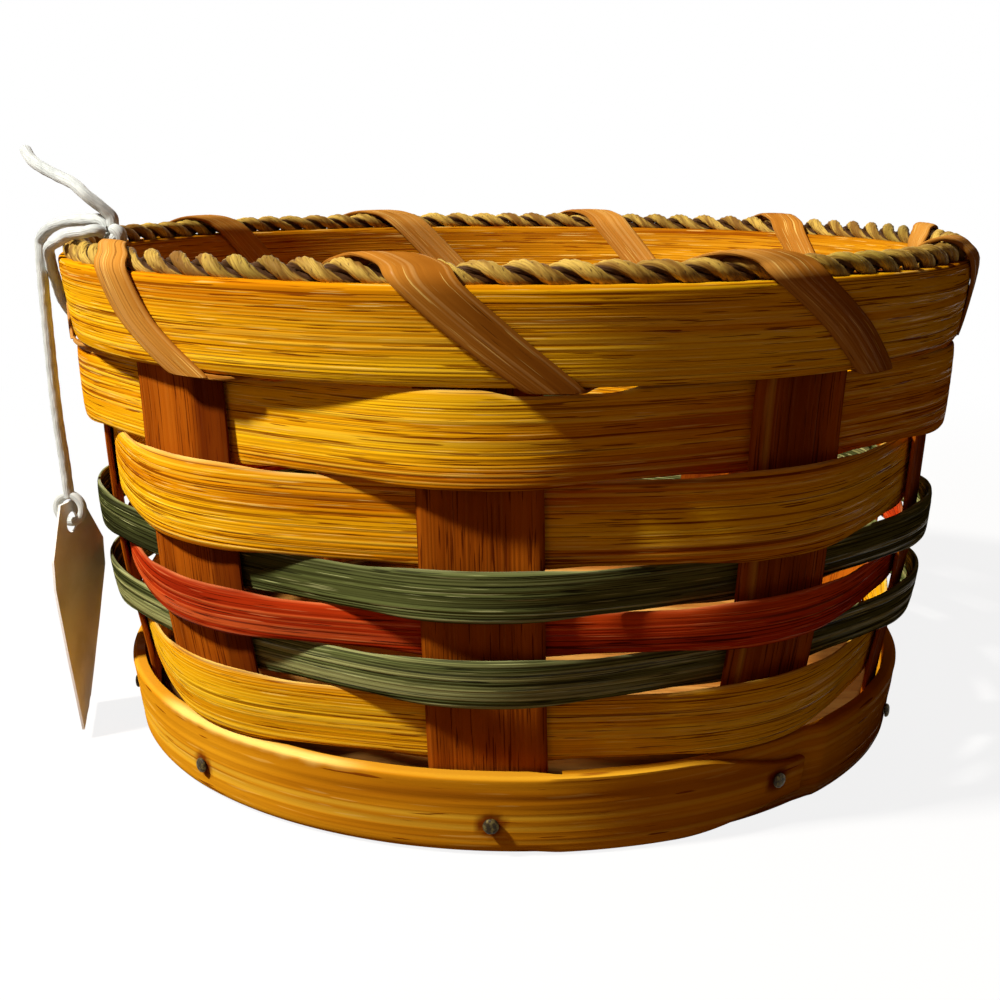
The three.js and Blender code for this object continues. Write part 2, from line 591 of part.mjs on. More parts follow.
// Over the rim and out to where the free strand hangs
const stringArch = () =>
  stringAlong(
    [
      ...fromKnot(0.38, -0.5, 0.78),
      aroundFiller(KNOT_AZIMUTH - 5.4, 98, STRING_REACH + 2.4),
      aroundFiller(KNOT_AZIMUTH - 9, 62, STRING_REACH + 2.4),
      at(KNOT_AZIMUTH - 12.6, HANG_RADIUS - 0.9, RIM_TOP + 5.6),
      at(HANG_AZIMUTH, HANG_RADIUS, HANG_HEIGHT + STRING_RADIUS + 2.2),
      at(HANG_AZIMUTH, HANG_RADIUS, HANG_HEIGHT + STRING_RADIUS + CLEARANCE),
    ],
    16,
  );

// Free strand, domed on top where it swings, and the eye that it ends in round the tag's top margin
const HOLE_HEIGHT = TAG_FOOT_HEIGHT + TAG_LENGTH - TAG_HOLE_INSET;
const EYE_HEIGHT = HOLE_HEIGHT + EYE_RADIUS;
const TAG_RADIUS = HANG_RADIUS - TAG_INSET;
function tagString() {
  const join = EYE_HEIGHT + EYE_RADIUS;
  const strand = stringAlong(
    [
      at(HANG_AZIMUTH, HANG_RADIUS, HANG_HEIGHT),
      at(HANG_AZIMUTH, HANG_RADIUS, (2 * HANG_HEIGHT + join) / 3),
      at(HANG_AZIMUTH, HANG_RADIUS, (HANG_HEIGHT + 2 * join) / 3),
      at(HANG_AZIMUTH, HANG_RADIUS - TAG_INSET * 0.35, join + 7),
      at(HANG_AZIMUTH, TAG_RADIUS, join - EYE_STRING_RADIUS / 2),
    ],
    15,
  );
  const dome = new THREE.SphereGeometry(STRING_RADIUS, STRING_SIDES, 6).rotateX(Math.PI / 2);
  const top = at(HANG_AZIMUTH, HANG_RADIUS, HANG_HEIGHT);
  dome.translate(top.x, top.y, top.z);
  const eye = new THREE.TorusGeometry(EYE_RADIUS, EYE_STRING_RADIUS, STRING_SIDES, 12);
  const across = new THREE.Vector3(Math.cos(rad(TAG_TURN)), Math.sin(rad(TAG_TURN)), 0);
  eye.applyQuaternion(new THREE.Quaternion().setFromUnitVectors(new THREE.Vector3(0, 0, 1), across));
  const centre = at(HANG_AZIMUTH, TAG_RADIUS, EYE_HEIGHT);
  eye.translate(centre.x, centre.y, centre.z);
  return geometryOf(solidOf(strand).add(solidOf(dome)).add(solidOf(eye)));
}

// Card tag with cut corners, curled about its length, on the eye by its hole
function hangTag() {
  const top = TAG_FOOT_HEIGHT + TAG_LENGTH;
  const shoulder = top - TAG_SHOULDER;
  const curlFrom = shoulder - 6;
  const heights = [top, shoulder];
  for (let i = 0; i <= 7; i++) {
    heights.push(THREE.MathUtils.lerp(curlFrom, TAG_FOOT_HEIGHT, i / 7));
  }
  const middle = at(HANG_AZIMUTH, TAG_RADIUS, 0);
  const sections = heights.map((z) => {
    const curl = Math.max(0, (curlFrom - z) / (curlFrom - TAG_FOOT_HEIGHT));
    const turn = rad(TAG_TURN + TAG_CURL * curl);
    const half = z === top ? TAG_TOP_WIDTH / 2 : TAG_WIDTH / 2;
    const across = new THREE.Vector3(Math.cos(turn), Math.sin(turn), 0);
    const through = new THREE.Vector3(-Math.sin(turn), Math.cos(turn), 0);
    const face = (side) =>
      [-1, -0.5, 0, 0.5, 1].map((u) =>
        new THREE.Vector3(middle.x, middle.y, z)
          .addScaledVector(across, u * half)
          .addScaledVector(through, (side * TAG_THICKNESS) / 2),
      );
    return [...face(-1), ...face(1).reverse()];
  });
  const punch = new THREE.CylinderGeometry(TAG_HOLE_RADIUS, TAG_HOLE_RADIUS, 4 * TAG_THICKNESS, 16);
  punch.rotateZ(rad(TAG_TURN)).translate(middle.x, middle.y, HOLE_HEIGHT);
  return cutAll(skin(sections), [solidOf(punch)]);
}

const FINISH = {
  honey: { color: 0xcf8f22, roughness: 0.35 },
  green: { color: 0x4d5a34, roughness: 0.45 },
  red: { color: 0xa23a18, roughness: 0.45 },
  stake: { color: 0x9a5416, roughness: 0.5 },
  band: { color: 0xd39a30, roughness: 0.4 },
  base: { color: 0xc9a15c, roughness: 0.6 },
  lash: { color: 0xa0693a, roughness: 0.4 },
  seagrass: { color: 0xb89a48, roughness: 0.7 },
  string: { color: 0xcfd2c8, roughness: 0.9 },
  card: { color: 0x98836a, roughness: 0.9 },
  brad: { color: 0x6f6a45, roughness: 0.4, metalness: 0.9 },
};
const finish = (name) => new THREE.MeshStandardMaterial({ metalness: 0, ...FINISH[name] });

const basket = new THREE.Group();
basket.name = "round_wooden_basket";
function add(name, geometry, look, parent = basket) {
  const mesh = new THREE.Mesh(geometry, finish(look));
  mesh.name = name;
  parent.add(mesh);
  return mesh;
}

add("base_disc", cutAll(baseDisc(), bradHoles), "base");
for (let i = 0; i < STAKE_COUNT; i++) {
  const turned = stake().rotateZ(rad(i * PITCH));
  add(`stake_${String(i + 1).padStart(2, "0")}`, cutAll(turned, [bradHoles[i]]), "stake");
}
add("base_band", cutAll(baseBand(), bradHoles), "band");
brads.forEach((spot, i) => {
  placeBrad(add(`brad_${String(i + 1).padStart(2, "0")}`, brad(), "brad"), spot);
});
WEAVERS.forEach((row) => add(row.name, weaver(row), row.look));
add("outer_rim_hoop", hoop(outerSeat, OUTER_HOOP_THICKNESS, 1, OUTER_HOOP_LAP_START), "honey");
add("inner_rim_hoop", hoop(innerSeat, INNER_HOOP_THICKNESS, -1, INNER_HOOP_LAP_START), "honey");
add("seagrass_strand_a", seagrassStrand(0), "seagrass");
add("seagrass_strand_b", seagrassStrand(Math.PI), "seagrass");
add("lashing_strip", lashing(), "lash");

const knot = new THREE.IcosahedronGeometry(KNOT_RADIUS, 1);
add("string_knot", knot, "string").position.copy(KNOT_SPOT);
add("string_tail", stringTail(), "string");
add("string_outer_run", stringOuterRun(), "string");
add("string_inner_run", stringInnerRun(), "string");
add("string_arch", stringArch(), "string");
add("tag_string", tagString(), "string");
add("hang_tag", hangTag(), "card");

export default basket;
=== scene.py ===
"""Dresses the round splint basket: nailed base, six woven reeds, laced rim, string and card tag.

Shapes are worked out in millimetres and put into their meshes in metres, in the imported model's frame.
"""

from __future__ import annotations

import logging
import math
from dataclasses import dataclass, field
from enum import Enum
from typing import Callable, Mapping, Sequence, TypeVar, Union

import bmesh
import bpy
from mathutils import Matrix, Vector, noise


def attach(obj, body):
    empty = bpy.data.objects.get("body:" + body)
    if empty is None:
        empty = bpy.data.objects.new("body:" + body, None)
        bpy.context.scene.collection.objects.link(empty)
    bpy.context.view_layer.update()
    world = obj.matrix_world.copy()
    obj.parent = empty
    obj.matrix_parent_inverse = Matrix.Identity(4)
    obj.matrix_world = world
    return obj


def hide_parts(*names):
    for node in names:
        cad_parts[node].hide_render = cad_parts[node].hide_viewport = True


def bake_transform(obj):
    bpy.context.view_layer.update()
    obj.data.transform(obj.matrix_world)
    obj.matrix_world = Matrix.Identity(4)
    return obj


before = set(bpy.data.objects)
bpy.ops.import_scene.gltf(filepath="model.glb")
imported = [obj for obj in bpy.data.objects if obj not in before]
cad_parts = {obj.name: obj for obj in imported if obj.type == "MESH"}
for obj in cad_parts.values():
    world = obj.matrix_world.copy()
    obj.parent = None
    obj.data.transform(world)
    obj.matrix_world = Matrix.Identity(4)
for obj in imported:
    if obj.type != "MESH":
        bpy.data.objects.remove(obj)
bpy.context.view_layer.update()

MM = 0.001
SHARP = math.radians(48)
FULL_TURN = 2 * math.pi
UP = Vector((0, 0, 1))

log = logging.getLogger("basket")
Bent = TypeVar("Bent", float, Vector)
Piece = bpy.types.Object


# Plain geometry


def at(azimuth: float, radius: float, height: float) -> Vector:
    """Gives a point on the basket.

    Args:
        azimuth: Degrees from the front, counter-clockwise seen from above.
        radius: Millimetres from the basket's middle line.
        height: Millimetres above the underside.

    Returns:
        The point, in millimetres.
    """
    turn = math.radians(azimuth)
    return Vector((radius * math.sin(turn), -radius * math.cos(turn), height))


def apart(azimuth: float, other: float) -> float:
    """Gives the degrees between two azimuths, the shorter way round."""
    return abs((azimuth - other + 540) % 360 - 180)


def clamp(value: float, low: float = 0.0, high: float = 1.0) -> float:
    """Keeps a value between two limits."""
    return min(high, max(low, value))


def lerp(start: float, end: float, share: float) -> float:
    """Gives the value part of the way from one to another."""
    return start + (end - start) * share


def smoothstep(value: float, low: float, high: float) -> float:
    """Rises smoothly from 0 at the low limit to 1 at the high one."""
    share = clamp((value - low) / (high - low))
    return share * share * (3 - 2 * share)


def rough(along: float, across: float, seed: float) -> float:
    """Gives smooth noise from about -1 to 1 at a place on a piece."""
    return noise.noise(Vector((along, across, seed)))


def hermite(start: Bent, end: Bent, leave: Bent, arrive: Bent, share: float) -> Bent:
    """Bends from one value or point to another.

    Args:
        start: Where it starts.
        end: Where it ends.
        leave: How fast it leaves, per span.
        arrive: How fast it arrives, per span.
        share: The share of the span that is done.

    Returns:
        The value or point there.
    """
    risen = share * share * (3 - 2 * share)
    bow = leave * (share * (1 - share) ** 2) - arrive * (share * share * (1 - share))
    return start * (1 - risen) + end * risen + bow


def through(points: Sequence[Vector], per_span: int) -> list[Vector]:
    """Draws one smooth curve through the points of a route.

    Args:
        points: The route's points.
        per_span: How many steps lie between two of them.

    Returns:
        The curve's points.
    """
    posts = [points[0] * 2 - points[1], *points, points[-1] * 2 - points[-2]]
    line = []
    for i in range(len(points) - 1):
        p0, p1, p2, p3 = posts[i : i + 4]
        d0, d1, d2 = ((b - a).length ** 0.5 for a, b in ((p0, p1), (p1, p2), (p2, p3)))
        leave = ((p1 - p0) / d0 - (p2 - p0) / (d0 + d1) + (p2 - p1) / d1) * d1
        arrive = ((p2 - p1) / d1 - (p3 - p1) / (d1 + d2) + (p3 - p2) / d2) * d1
        line += [hermite(p1, p2, leave, arrive, k / per_span) for k in range(per_span)]
    return [*line, points[-1]]


def lengths(line: Sequence[Vector]) -> list[float]:
    """Measures along a line.

    Args:
        line: The line's points.

    Returns:
        The length gone at each point.
    """
    gone = [0.0]
    for a, b in zip(line, line[1:]):
        gone.append(gone[-1] + (b - a).length)
    return gone


def evenly(line: Sequence[Vector], count: int) -> list[Vector]:
    """Spaces points evenly along a line.

    Args:
        line: The line's points.
        count: How many points to give, ends included.

    Returns:
        The evenly spaced points.
    """
    gone = lengths(line)
    step = gone[-1] / (count - 1)
    spaced = [line[0].copy()]
    for i in range(len(line) - 1):
        while gone[i + 1] > gone[i] and len(spaced) < count - 1 and gone[i + 1] >= step * len(spaced):
            share = (step * len(spaced) - gone[i]) / (gone[i + 1] - gone[i])
            spaced.append(line[i].lerp(line[i + 1], share))
    return [*spaced, line[-1].copy()]


# Shader maths

Number = Union[float, "Value"]
Socket = bpy.types.NodeSocket
Rgb = tuple[int, int, int]


class Value:
    """A number that varies over a surface; arithmetic on it adds Math nodes."""

    def __init__(self, bench: Bench, socket: Socket) -> None:
        """Wraps a socket of a bench's tree."""
        self.bench = bench
        self.socket = socket

    def math(self, operation: str, other: Number = 0.0) -> Value:
        """Adds a Math node of that operation, with this number first."""
        made = self.bench.node("Math", {0: self, 1: other}, operation=operation)
        return Value(self.bench, made.outputs[0])

    def __add__(self, other: Number) -> Value:
        """Adds."""
        return self.math("ADD", other)

    def __sub__(self, other: Number) -> Value:
        """Subtracts."""
        return self.math("SUBTRACT", other)

    def __rsub__(self, other: Number) -> Value:
        """Subtracts from a plain number."""
        return self * -1.0 + other

    def __mul__(self, other: Number) -> Value:
        """Multiplies."""
        return self.math("MULTIPLY", other)

    __radd__ = __add__
    __rmul__ = __mul__

    def __abs__(self) -> Value:
        """Drops the sign."""
        return self.math("ABSOLUTE")

    def ramp(self, low: float, high: float) -> Value:
        """Rises smoothly from 0 to 1.

        Args:
            low: Where it leaves 0.
            high: Where it reaches 1; below the low limit, the rise is turned round.

        Returns:
            The mask.
        """
        sockets = {"Value": self, "From Min": low, "From Max": high}
        made = self.bench.node("MapRange", sockets, interpolation_type="SMOOTHSTEP")
        return Value(self.bench, made.outputs[0])


def paint(red: int, green: int, blue: int) -> tuple[float, float, float, float]:
    """Gives the shader colour of a paint chart's red, green and blue, from 0 to 255.

    Args:
        red: Red.
        green: Green.
        blue: Blue.

    Returns:
        The linear colour, opaque.
    """
    parts = (red / 255, green / 255, blue / 255)
    return (*(p / 12.92 if p <= 0.04045 else ((p + 0.055) / 1.055) ** 2.4 for p in parts), 1.0)


class Bench:
    """The node tree of a material or world, and the few nodes that it is made of."""

    def __init__(self, owner: bpy.types.Material | bpy.types.World) -> None:
        """Empties the owner's tree."""
        owner.use_nodes = True
        self.tree = owner.node_tree
        self.tree.nodes.clear()

    def node(
        self, kind: str, sockets: Mapping[object, object] | None = None, **settings: object
    ) -> bpy.types.Node:
        """Adds any node.

        Args:
            kind: Blender's name for its type, after ShaderNode.
            sockets: What each input gets, by its name or number.
            settings: The node's own settings, which are set first.

        Returns:
            The node.
        """
        made = self.tree.nodes.new(f"ShaderNode{kind}")
        for name, setting in settings.items():
            setattr(made, name, setting)
        for key, value in (sockets or {}).items():
            if isinstance(value, Value):
                value = value.socket
            elif isinstance(value, bpy.types.Node):
                value = value.outputs[0]
            if isinstance(value, Socket):
                self.tree.links.new(value, made.inputs[key])
            else:
                made.inputs[key].default_value = value
        return made

    def grain(self) -> Socket:
        """Gives the piece's own coordinates: metres along it, across it and its seed."""
        return self.node("Attribute", attribute_name="grain").outputs["Vector"]

    def mask(self, name: str) -> Value:
        """Reads a mask that the piece carries on its points."""
        return Value(self, self.node("Attribute", attribute_name=name).outputs["Fac"])

    def place(self) -> Socket:
        """Gives the place in the piece's object coordinates."""
        return self.node("TexCoord").outputs["Object"]

    def scaled(self, vector: Socket, scale: tuple[float, float, float]) -> Socket:
        """Scales a vector along its three axes."""
        return self.node("VectorMath", {0: vector, 1: scale}, operation="MULTIPLY").outputs[0]

    def from_middle(self) -> Value:
        """Gives the distance from the basket's middle line, in metres."""
        level = self.scaled(self.place(), (1, 1, 0))
        return Value(self, self.node("VectorMath", {0: level}, operation="LENGTH").outputs["Value"])

    def noise(self, where: Socket, scale: tuple[float, float, float], detail: float) -> Value:
        """Reads smooth noise.

        Args:
            where: The coordinates that it is read at.
            scale: How many features it has per metre along each of them.
            detail: How many finer layers it has.

        Returns:
            The noise, mostly from 0.25 to 0.75.
        """
        sockets = {"Vector": self.scaled(where, scale), "Scale": 1.0, "Detail": detail}
        return Value(self, self.node("TexNoise", sockets).outputs["Fac"])

    def layers(self, base: Rgb, *coats: tuple[Number, Rgb]) -> Socket:
        """Lays colours over one another.

        Args:
            base: The colour below.
            coats: How much of each further colour shows, and the colour.

        Returns:
            The mixed colour.
        """
        colour = paint(*base)
        for share, coat in coats:
            sockets = {0: share, 6: colour, 7: paint(*coat)}
            colour = self.node("Mix", sockets, data_type="RGBA", clamp_factor=True).outputs[2]
        return colour

    def surface(
        self, colour: Socket, roughness: Number, relief: Value, depth: float, **more: Number
    ) -> None:
        """Ends the tree in one Principled surface.

        Args:
            colour: Its colour.
            roughness: Its roughness.
            relief: The height of its fine relief, from 0 to 1.
            depth: How many metres one unit of relief stands for.
            more: Its other inputs, with underscores for spaces.
        """
        bump = self.node("Bump", {"Height": relief, "Distance": depth, "Strength": 1.0})
        sockets = {"Base Color": colour, "Roughness": roughness, "Normal": bump}
        sockets |= {name.replace("_", " "): value for name, value in more.items()}
        self.node("OutputMaterial", {0: self.node("BsdfPrincipled", sockets)})

    def shown(self, unseen: bpy.types.Node, seen: bpy.types.Node) -> bpy.types.Node:
        """Parts what the camera sees, also mirrored or through something, from what gives light.

        Args:
            unseen: What other light meets.
            seen: What the camera sees.

        Returns:
            Both in one.
        """
        path = self.node("LightPath")
        camera, glossy, glass = (
            Value(self, path.outputs[f"Is {kind} Ray"]) for kind in ("Camera", "Glossy", "Transmission")
        )
        return self.node("MixShader", {0: camera + glossy + glass, 1: unseen, 2: seen})


# Finishes


@dataclass(frozen=True)
class Finish:
    """What every finish has: its name and the record's slot that it stands for."""

    name: str
    slot: str

    def dress(self, bench: Bench) -> None:
        """Builds the finish.

        Args:
            bench: The empty node tree.
        """
        raise NotImplementedError

    def material(self) -> bpy.types.Material:
        """Gives the finish's one material, made the first time."""
        name = f"{self.name}_finish"
        made = bpy.data.materials.get(name)
        if made is None:
            made = bpy.data.materials.new(name)
            self.dress(Bench(made))
        return made


@dataclass(frozen=True)
class Splint(Finish):
    """Split wood or reed with lengthwise ridges, dark vessel lines and a varnish; its pale flecks are
    painted glints, and its pale ridge tops are partly wear and partly painted highlight.
    """

    light: Rgb = (243, 190, 22)
    middle: Rgb = (226, 157, 11)
    dark: Rgb = (182, 92, 5)
    streak: Rgb = (116, 42, 4)
    # Pale ridge tops: partly wear, partly painted highlight
    rubbed_and_highlight: Rgb = (253, 222, 74)
    # Pale colour of the painted glints in flecks; it also gives real wear, sapwood and the reeds' painted
    # top-edge highlight
    worn_and_glint: Rgb = (255, 226, 130)
    rubbed_and_highlight_share: float = 0.3
    grooves: float = 0.46
    ridges: float = 1350.0
    ridge_height: float = 0.00012
    streaks: float = 0.59
    dashes: float = 0.63
    roughness: float = 0.32
    gloss: float = 0.3

    def dress(self, bench: Bench) -> None:
        """Builds the split wood."""
        grain = bench.grain()
        edge, stain_and_painted_light = bench.mask("edge"), bench.mask("stain_and_painted_light")
        tone = bench.noise(grain, (8, 110, 1), 3)
        patch = bench.noise(grain, (24, 170, 1), 2)
        ridge = bench.noise(grain, (3.5, self.ridges, 1), 0)
        rib = bench.noise(grain, (7, self.ridges * 2.1, 4), 0)
        fine = bench.noise(grain, (70, self.ridges * 5, 1), 2)
        line = bench.noise(grain, (12, self.ridges * 1.5, 2), 1)
        dash = bench.noise(grain, (80, self.ridges * 2.2, 3), 1)
        groove = abs(ridge - 0.5).ramp(0.06, 0.0) * patch.ramp(0.28, 0.5)
        seam = abs(rib - 0.5).ramp(0.08, 0.0)
        streak = line.ramp(self.streaks, self.streaks + 0.08)
        pore = dash.ramp(self.dashes, self.dashes + 0.05)
        colour = bench.layers(
            self.dark,
            (tone.ramp(0.28, 0.5), self.middle),
            (tone.ramp(0.42, 0.66), self.light),
            # Pale ridge tops, partly wear and partly painted highlight
            (ridge.ramp(0.52, 0.7) * self.rubbed_and_highlight_share, self.rubbed_and_highlight),
            (seam * (self.grooves * 0.6), self.dark),
            (groove * self.grooves, self.dark),
            (streak * 0.7, self.streak),
            (pore * 0.8, self.streak),
            # Painted glints: pale flecks, more of them the glossier the finish
            (dash.ramp(0.34, 0.28) * (self.gloss * 1.4), self.worn_and_glint),
            (edge * edge * 0.3, self.streak),
            # Stain mask: real stains and bleaching, plus a painted shadow on one stake and a painted
            # highlight on the reeds' top edges
            (stain_and_painted_light, self.streak),
            (stain_and_painted_light * -1.0, self.worn_and_glint),
        )
        bench.surface(
            colour,
            fine * 0.3 + (self.roughness - 0.12),
            abs(ridge - 0.5) * 2 + rib * 0.3 + fine * 0.15 - streak * 0.2 - pore * 0.2,
            self.ridge_height,
            Specular_IOR_Level=0.0,
            Coat_Weight=fine.ramp(0.5, 0.7) * ridge.ramp(0.5, 0.62) * self.gloss,
            Coat_Roughness=0.26,
        )


@dataclass(frozen=True)
class Board(Finish):
    """Flat sawn board with its grain along X, with painted shade next to the wall."""

    def dress(self, bench: Bench) -> None:
        """Builds the board."""
        place = bench.place()
        ring = bench.noise(place, (6, 160, 60), 3)
        fine = bench.noise(place, (60, 1800, 1800), 2)
        pore = bench.noise(place, (190, 2400, 2400), 1).ramp(0.62, 0.7)
        colour = bench.layers(
            (208, 160, 84),
            (ring.ramp(0.3, 0.68), (156, 100, 40)),
            (fine.ramp(0.4, 0.8) * 0.3, (156, 100, 40)),
            (pore * 0.6, (96, 56, 20)),
            # Painted shade next to the wall, where the board meets the band
            (bench.from_middle().ramp(0.064, 0.072) * 0.85, (58, 34, 14)),
        )
        relief = ring * 0.5 + fine * 0.6 - pore * 0.4
        bench.surface(colour, fine * 0.3 + 0.42, relief, 0.0002, Specular_IOR_Level=0.0)


@dataclass(frozen=True)
class Grass(Finish):
    """Twisted seagrass: pale blades, with painted shade in the crevices of the lay."""

    def dress(self, bench: Bench) -> None:
        """Builds the seagrass."""
        grain = bench.grain()
        tone = bench.noise(grain, (90, 500, 500), 2)
        patch = bench.noise(grain, (24, 24, 24), 1)
        fibre = bench.noise(grain, (60, 3200, 3200), 2)
        colour = bench.layers(
            (124, 86, 28),
            (tone.ramp(0.35, 0.65), (202, 168, 76)),
            (patch.ramp(0.52, 0.68) * 0.55, (132, 118, 40)),
            (fibre.ramp(0.5, 0.35) * 0.5, (124, 86, 28)),
            # Painted shade in the crevices of the lay
            (bench.mask("edge").ramp(0.35, 0.8), (66, 40, 13)),
        )
        bench.surface(colour, fibre * 0.3 + 0.5, fibre + tone * 0.4, 0.0003, Specular_IOR_Level=0.12)


@dataclass(frozen=True)
class Nail(Finish):
    """Dull brown iron, spotted with rust."""

    def dress(self, bench: Bench) -> None:
        """Builds the iron."""
        place = bench.place()
        spots = bench.noise(place, (1400, 1400, 1400), 3)
        fine = bench.noise(place, (4200, 4200, 4200), 2)
        colour = bench.layers((42, 32, 15), (spots.ramp(0.4, 0.62), (96, 84, 46)))
        bench.surface(
            colour,
            fine * 0.3 + 0.36,
            spots + fine * 0.4,
            0.00012,
            Metallic=spots.ramp(0.45, 0.65) * 0.35,
            Specular_IOR_Level=0.15,
        )


@dataclass(frozen=True)
class Cotton(Finish):
    """Soft white cotton string, with painted shade in the grooves of its lay."""

    def dress(self, bench: Bench) -> None:
        """Builds the cotton."""
        grain = bench.grain()
        fibre = bench.noise(grain, (260, 3600, 3600), 2)
        patch = bench.noise(grain, (70, 70, 70), 2)
        colour = bench.layers(
            (206, 212, 208),
            (fibre.ramp(0.62, 0.38) * 0.5, (158, 166, 166)),
            (patch.ramp(0.5, 0.75) * 0.5, (158, 166, 166)),
            # Painted shade in the grooves of the lay
            (bench.mask("edge") * 0.6, (128, 132, 134)),
        )
        bench.surface(colour, 0.9, fibre, 0.00018, Sheen_Weight=0.3)


@dataclass(frozen=True)
class Card(Finish):
    """Worn tag card, with a painted highlight along its cut edge."""

    def dress(self, bench: Bench) -> None:
        """Builds the card."""
        grain = bench.grain()
        cloud = bench.noise(grain, (90, 90, 1), 3)
        fibre = bench.noise(grain, (900, 2400, 1), 3)
        colour = bench.layers(
            (234, 238, 236),
            (cloud.ramp(0.42, 0.72), (214, 216, 208)),
            (fibre.ramp(0.55, 0.75) * 0.3, (246, 244, 238)),
            # Painted highlight along the cut edge
            (bench.mask("edge").ramp(0.55, 1.0), (246, 244, 238)),
        )
        bench.surface(colour, 0.82, fibre * 0.5 + cloud, 0.00012)


@dataclass(frozen=True)
class Floor(Finish):
    """White floor that keeps the basket's shadow."""

    def dress(self, bench: Bench) -> None:
        """Builds the floor."""
        dull = bench.node("BsdfDiffuse", {"Color": (0.12, 0.085, 0.055, 1.0)})
        plain = bench.node("BsdfDiffuse", {"Color": (0.78, 0.78, 0.77, 1.0)})
        white = bench.node("Emission", {"Color": (1, 1, 1, 1), "Strength": 1.0})
        share = bench.from_middle().ramp(0.16, 0.5) * 0.13 + 0.87
        pale = bench.node("MixShader", {0: share, 1: plain, 2: white})
        bench.node("OutputMaterial", {0: bench.shown(dull, pale)})


HONEY = Splint("woven_honey", "honey_reed")
GREEN = Splint(
    "green_reed", "green_reed", (104, 112, 62), (80, 86, 44), (46, 48, 24), (22, 20, 10),
    (172, 172, 110), (176, 180, 122), rubbed_and_highlight_share=0.6, grooves=0.9, ridge_height=0.00024, gloss=0.45,
)
RED = Splint(
    "red_reed", "red_reed", (214, 80, 25), (192, 57, 16), (132, 31, 9), (62, 12, 5),
    (238, 126, 60), (240, 150, 90), rubbed_and_highlight_share=0.35, roughness=0.34,
)
STAKE = Splint(
    "stake_splint", "stake_splint", (174, 90, 14), (154, 75, 10), (122, 54, 6), (82, 28, 4),
    (190, 112, 26), (196, 140, 50), rubbed_and_highlight_share=0.12, grooves=0.14, ridges=1200.0,
    ridge_height=0.00008, streaks=0.73, dashes=0.6, gloss=0.08, roughness=0.42,
)
HOOP = Splint("rim_hoop", "rim_wood")
# Painted shade: the hoop's colours darkened for the inner hoop, inside the basket
INNER_HOOP_PAINTED_SHADE = Splint(
    "inner_rim_hoop", "rim_wood", (208, 142, 18), (190, 124, 12), (150, 82, 6), rubbed_and_highlight=(222, 166, 44)
)
BAND = Splint(
    "base_band_wood", "band_wood", (224, 158, 28), (202, 132, 16), (160, 92, 11), rubbed_and_highlight_share=0.25,
    grooves=0.2, ridges=560.0, ridge_height=0.0001, streaks=0.72, dashes=0.69, gloss=0.12, roughness=0.36,
)
LASH = Splint(
    "lashing_reed", "lashing_reed", (192, 134, 56), (174, 112, 36), (138, 80, 18), (84, 44, 9),
    (214, 172, 104), rubbed_and_highlight_share=0.25, grooves=0.25, ridges=1500.0, ridge_height=0.0001,
    streaks=0.7, dashes=0.7, roughness=0.34,
)
BOARD = Board("base_board", "base_wood")
GRASS = Grass("seagrass", "seagrass")
NAIL = Nail("brad_iron", "brad_metal")
COTTON = Cotton("cotton_string", "cotton_string")
CARD = Card("tag_card", "tag_card")
FLOOR = Floor("studio_floor", "")


# Making pieces


class Face(Enum):
    """The two faces of a strip."""

    OUTER = 1
    INNER = -1


@dataclass(frozen=True)
class Spot:
    """One point of a piece and what its finish reads there, in millimetres.

    The grain counts along the piece, across it and, for a seed, off its plane. The edge mask
    goes from 0 to 1. The stain mask darkens above 0 and bleaches below it; besides real stains and bleaching
    it carries a painted shadow on one stake and a painted highlight along each reed's top edge.
    """

    place: Vector
    grain: Vector
    edge: float = 0.0
    stain_and_painted_light: float = 0.0


Section = Callable[[float, Face], Spot]
Ring = Callable[[float, float], tuple[float, float]]
Frames = list[tuple[Vector, Vector]]


def directions(line: Sequence[Vector], looped: bool) -> list[Vector]:
    """Gives the direction of a line at each of its points.

    Args:
        line: The line's points.
        looped: Whether it is one point at both ends.

    Returns:
        The directions.
    """
    before, after = (line[-2], line[1]) if looped else (line[0], line[-1])
    posts = [before, *line, after]
    return [(b - a).normalized() for a, b in zip(posts, posts[2:])]


def carried(line: Sequence[Vector], looped: bool) -> Frames:
    """Carries two directions along a line without turning them about it.

    Args:
        line: The line's points.
        looped: Whether the directions have to meet again at its end.

    Returns:
        The two directions at each point.
    """
    ahead = directions(line, looped)
    side = ahead[0].orthogonal().normalized()
    pairs = []
    for direction in ahead:
        side = (side - direction * side.dot(direction)).normalized()
        pairs.append((side, direction.cross(side)))
    if looped:
        side, up = pairs[0]
        off = math.atan2(pairs[-1][0].dot(up), pairs[-1][0].dot(side))
        for i, (a, b) in enumerate(pairs):
            turn = off * i / (len(pairs) - 1)
            pairs[i] = (a * math.cos(turn) - b * math.sin(turn), b * math.cos(turn) + a * math.sin(turn))
    return pairs


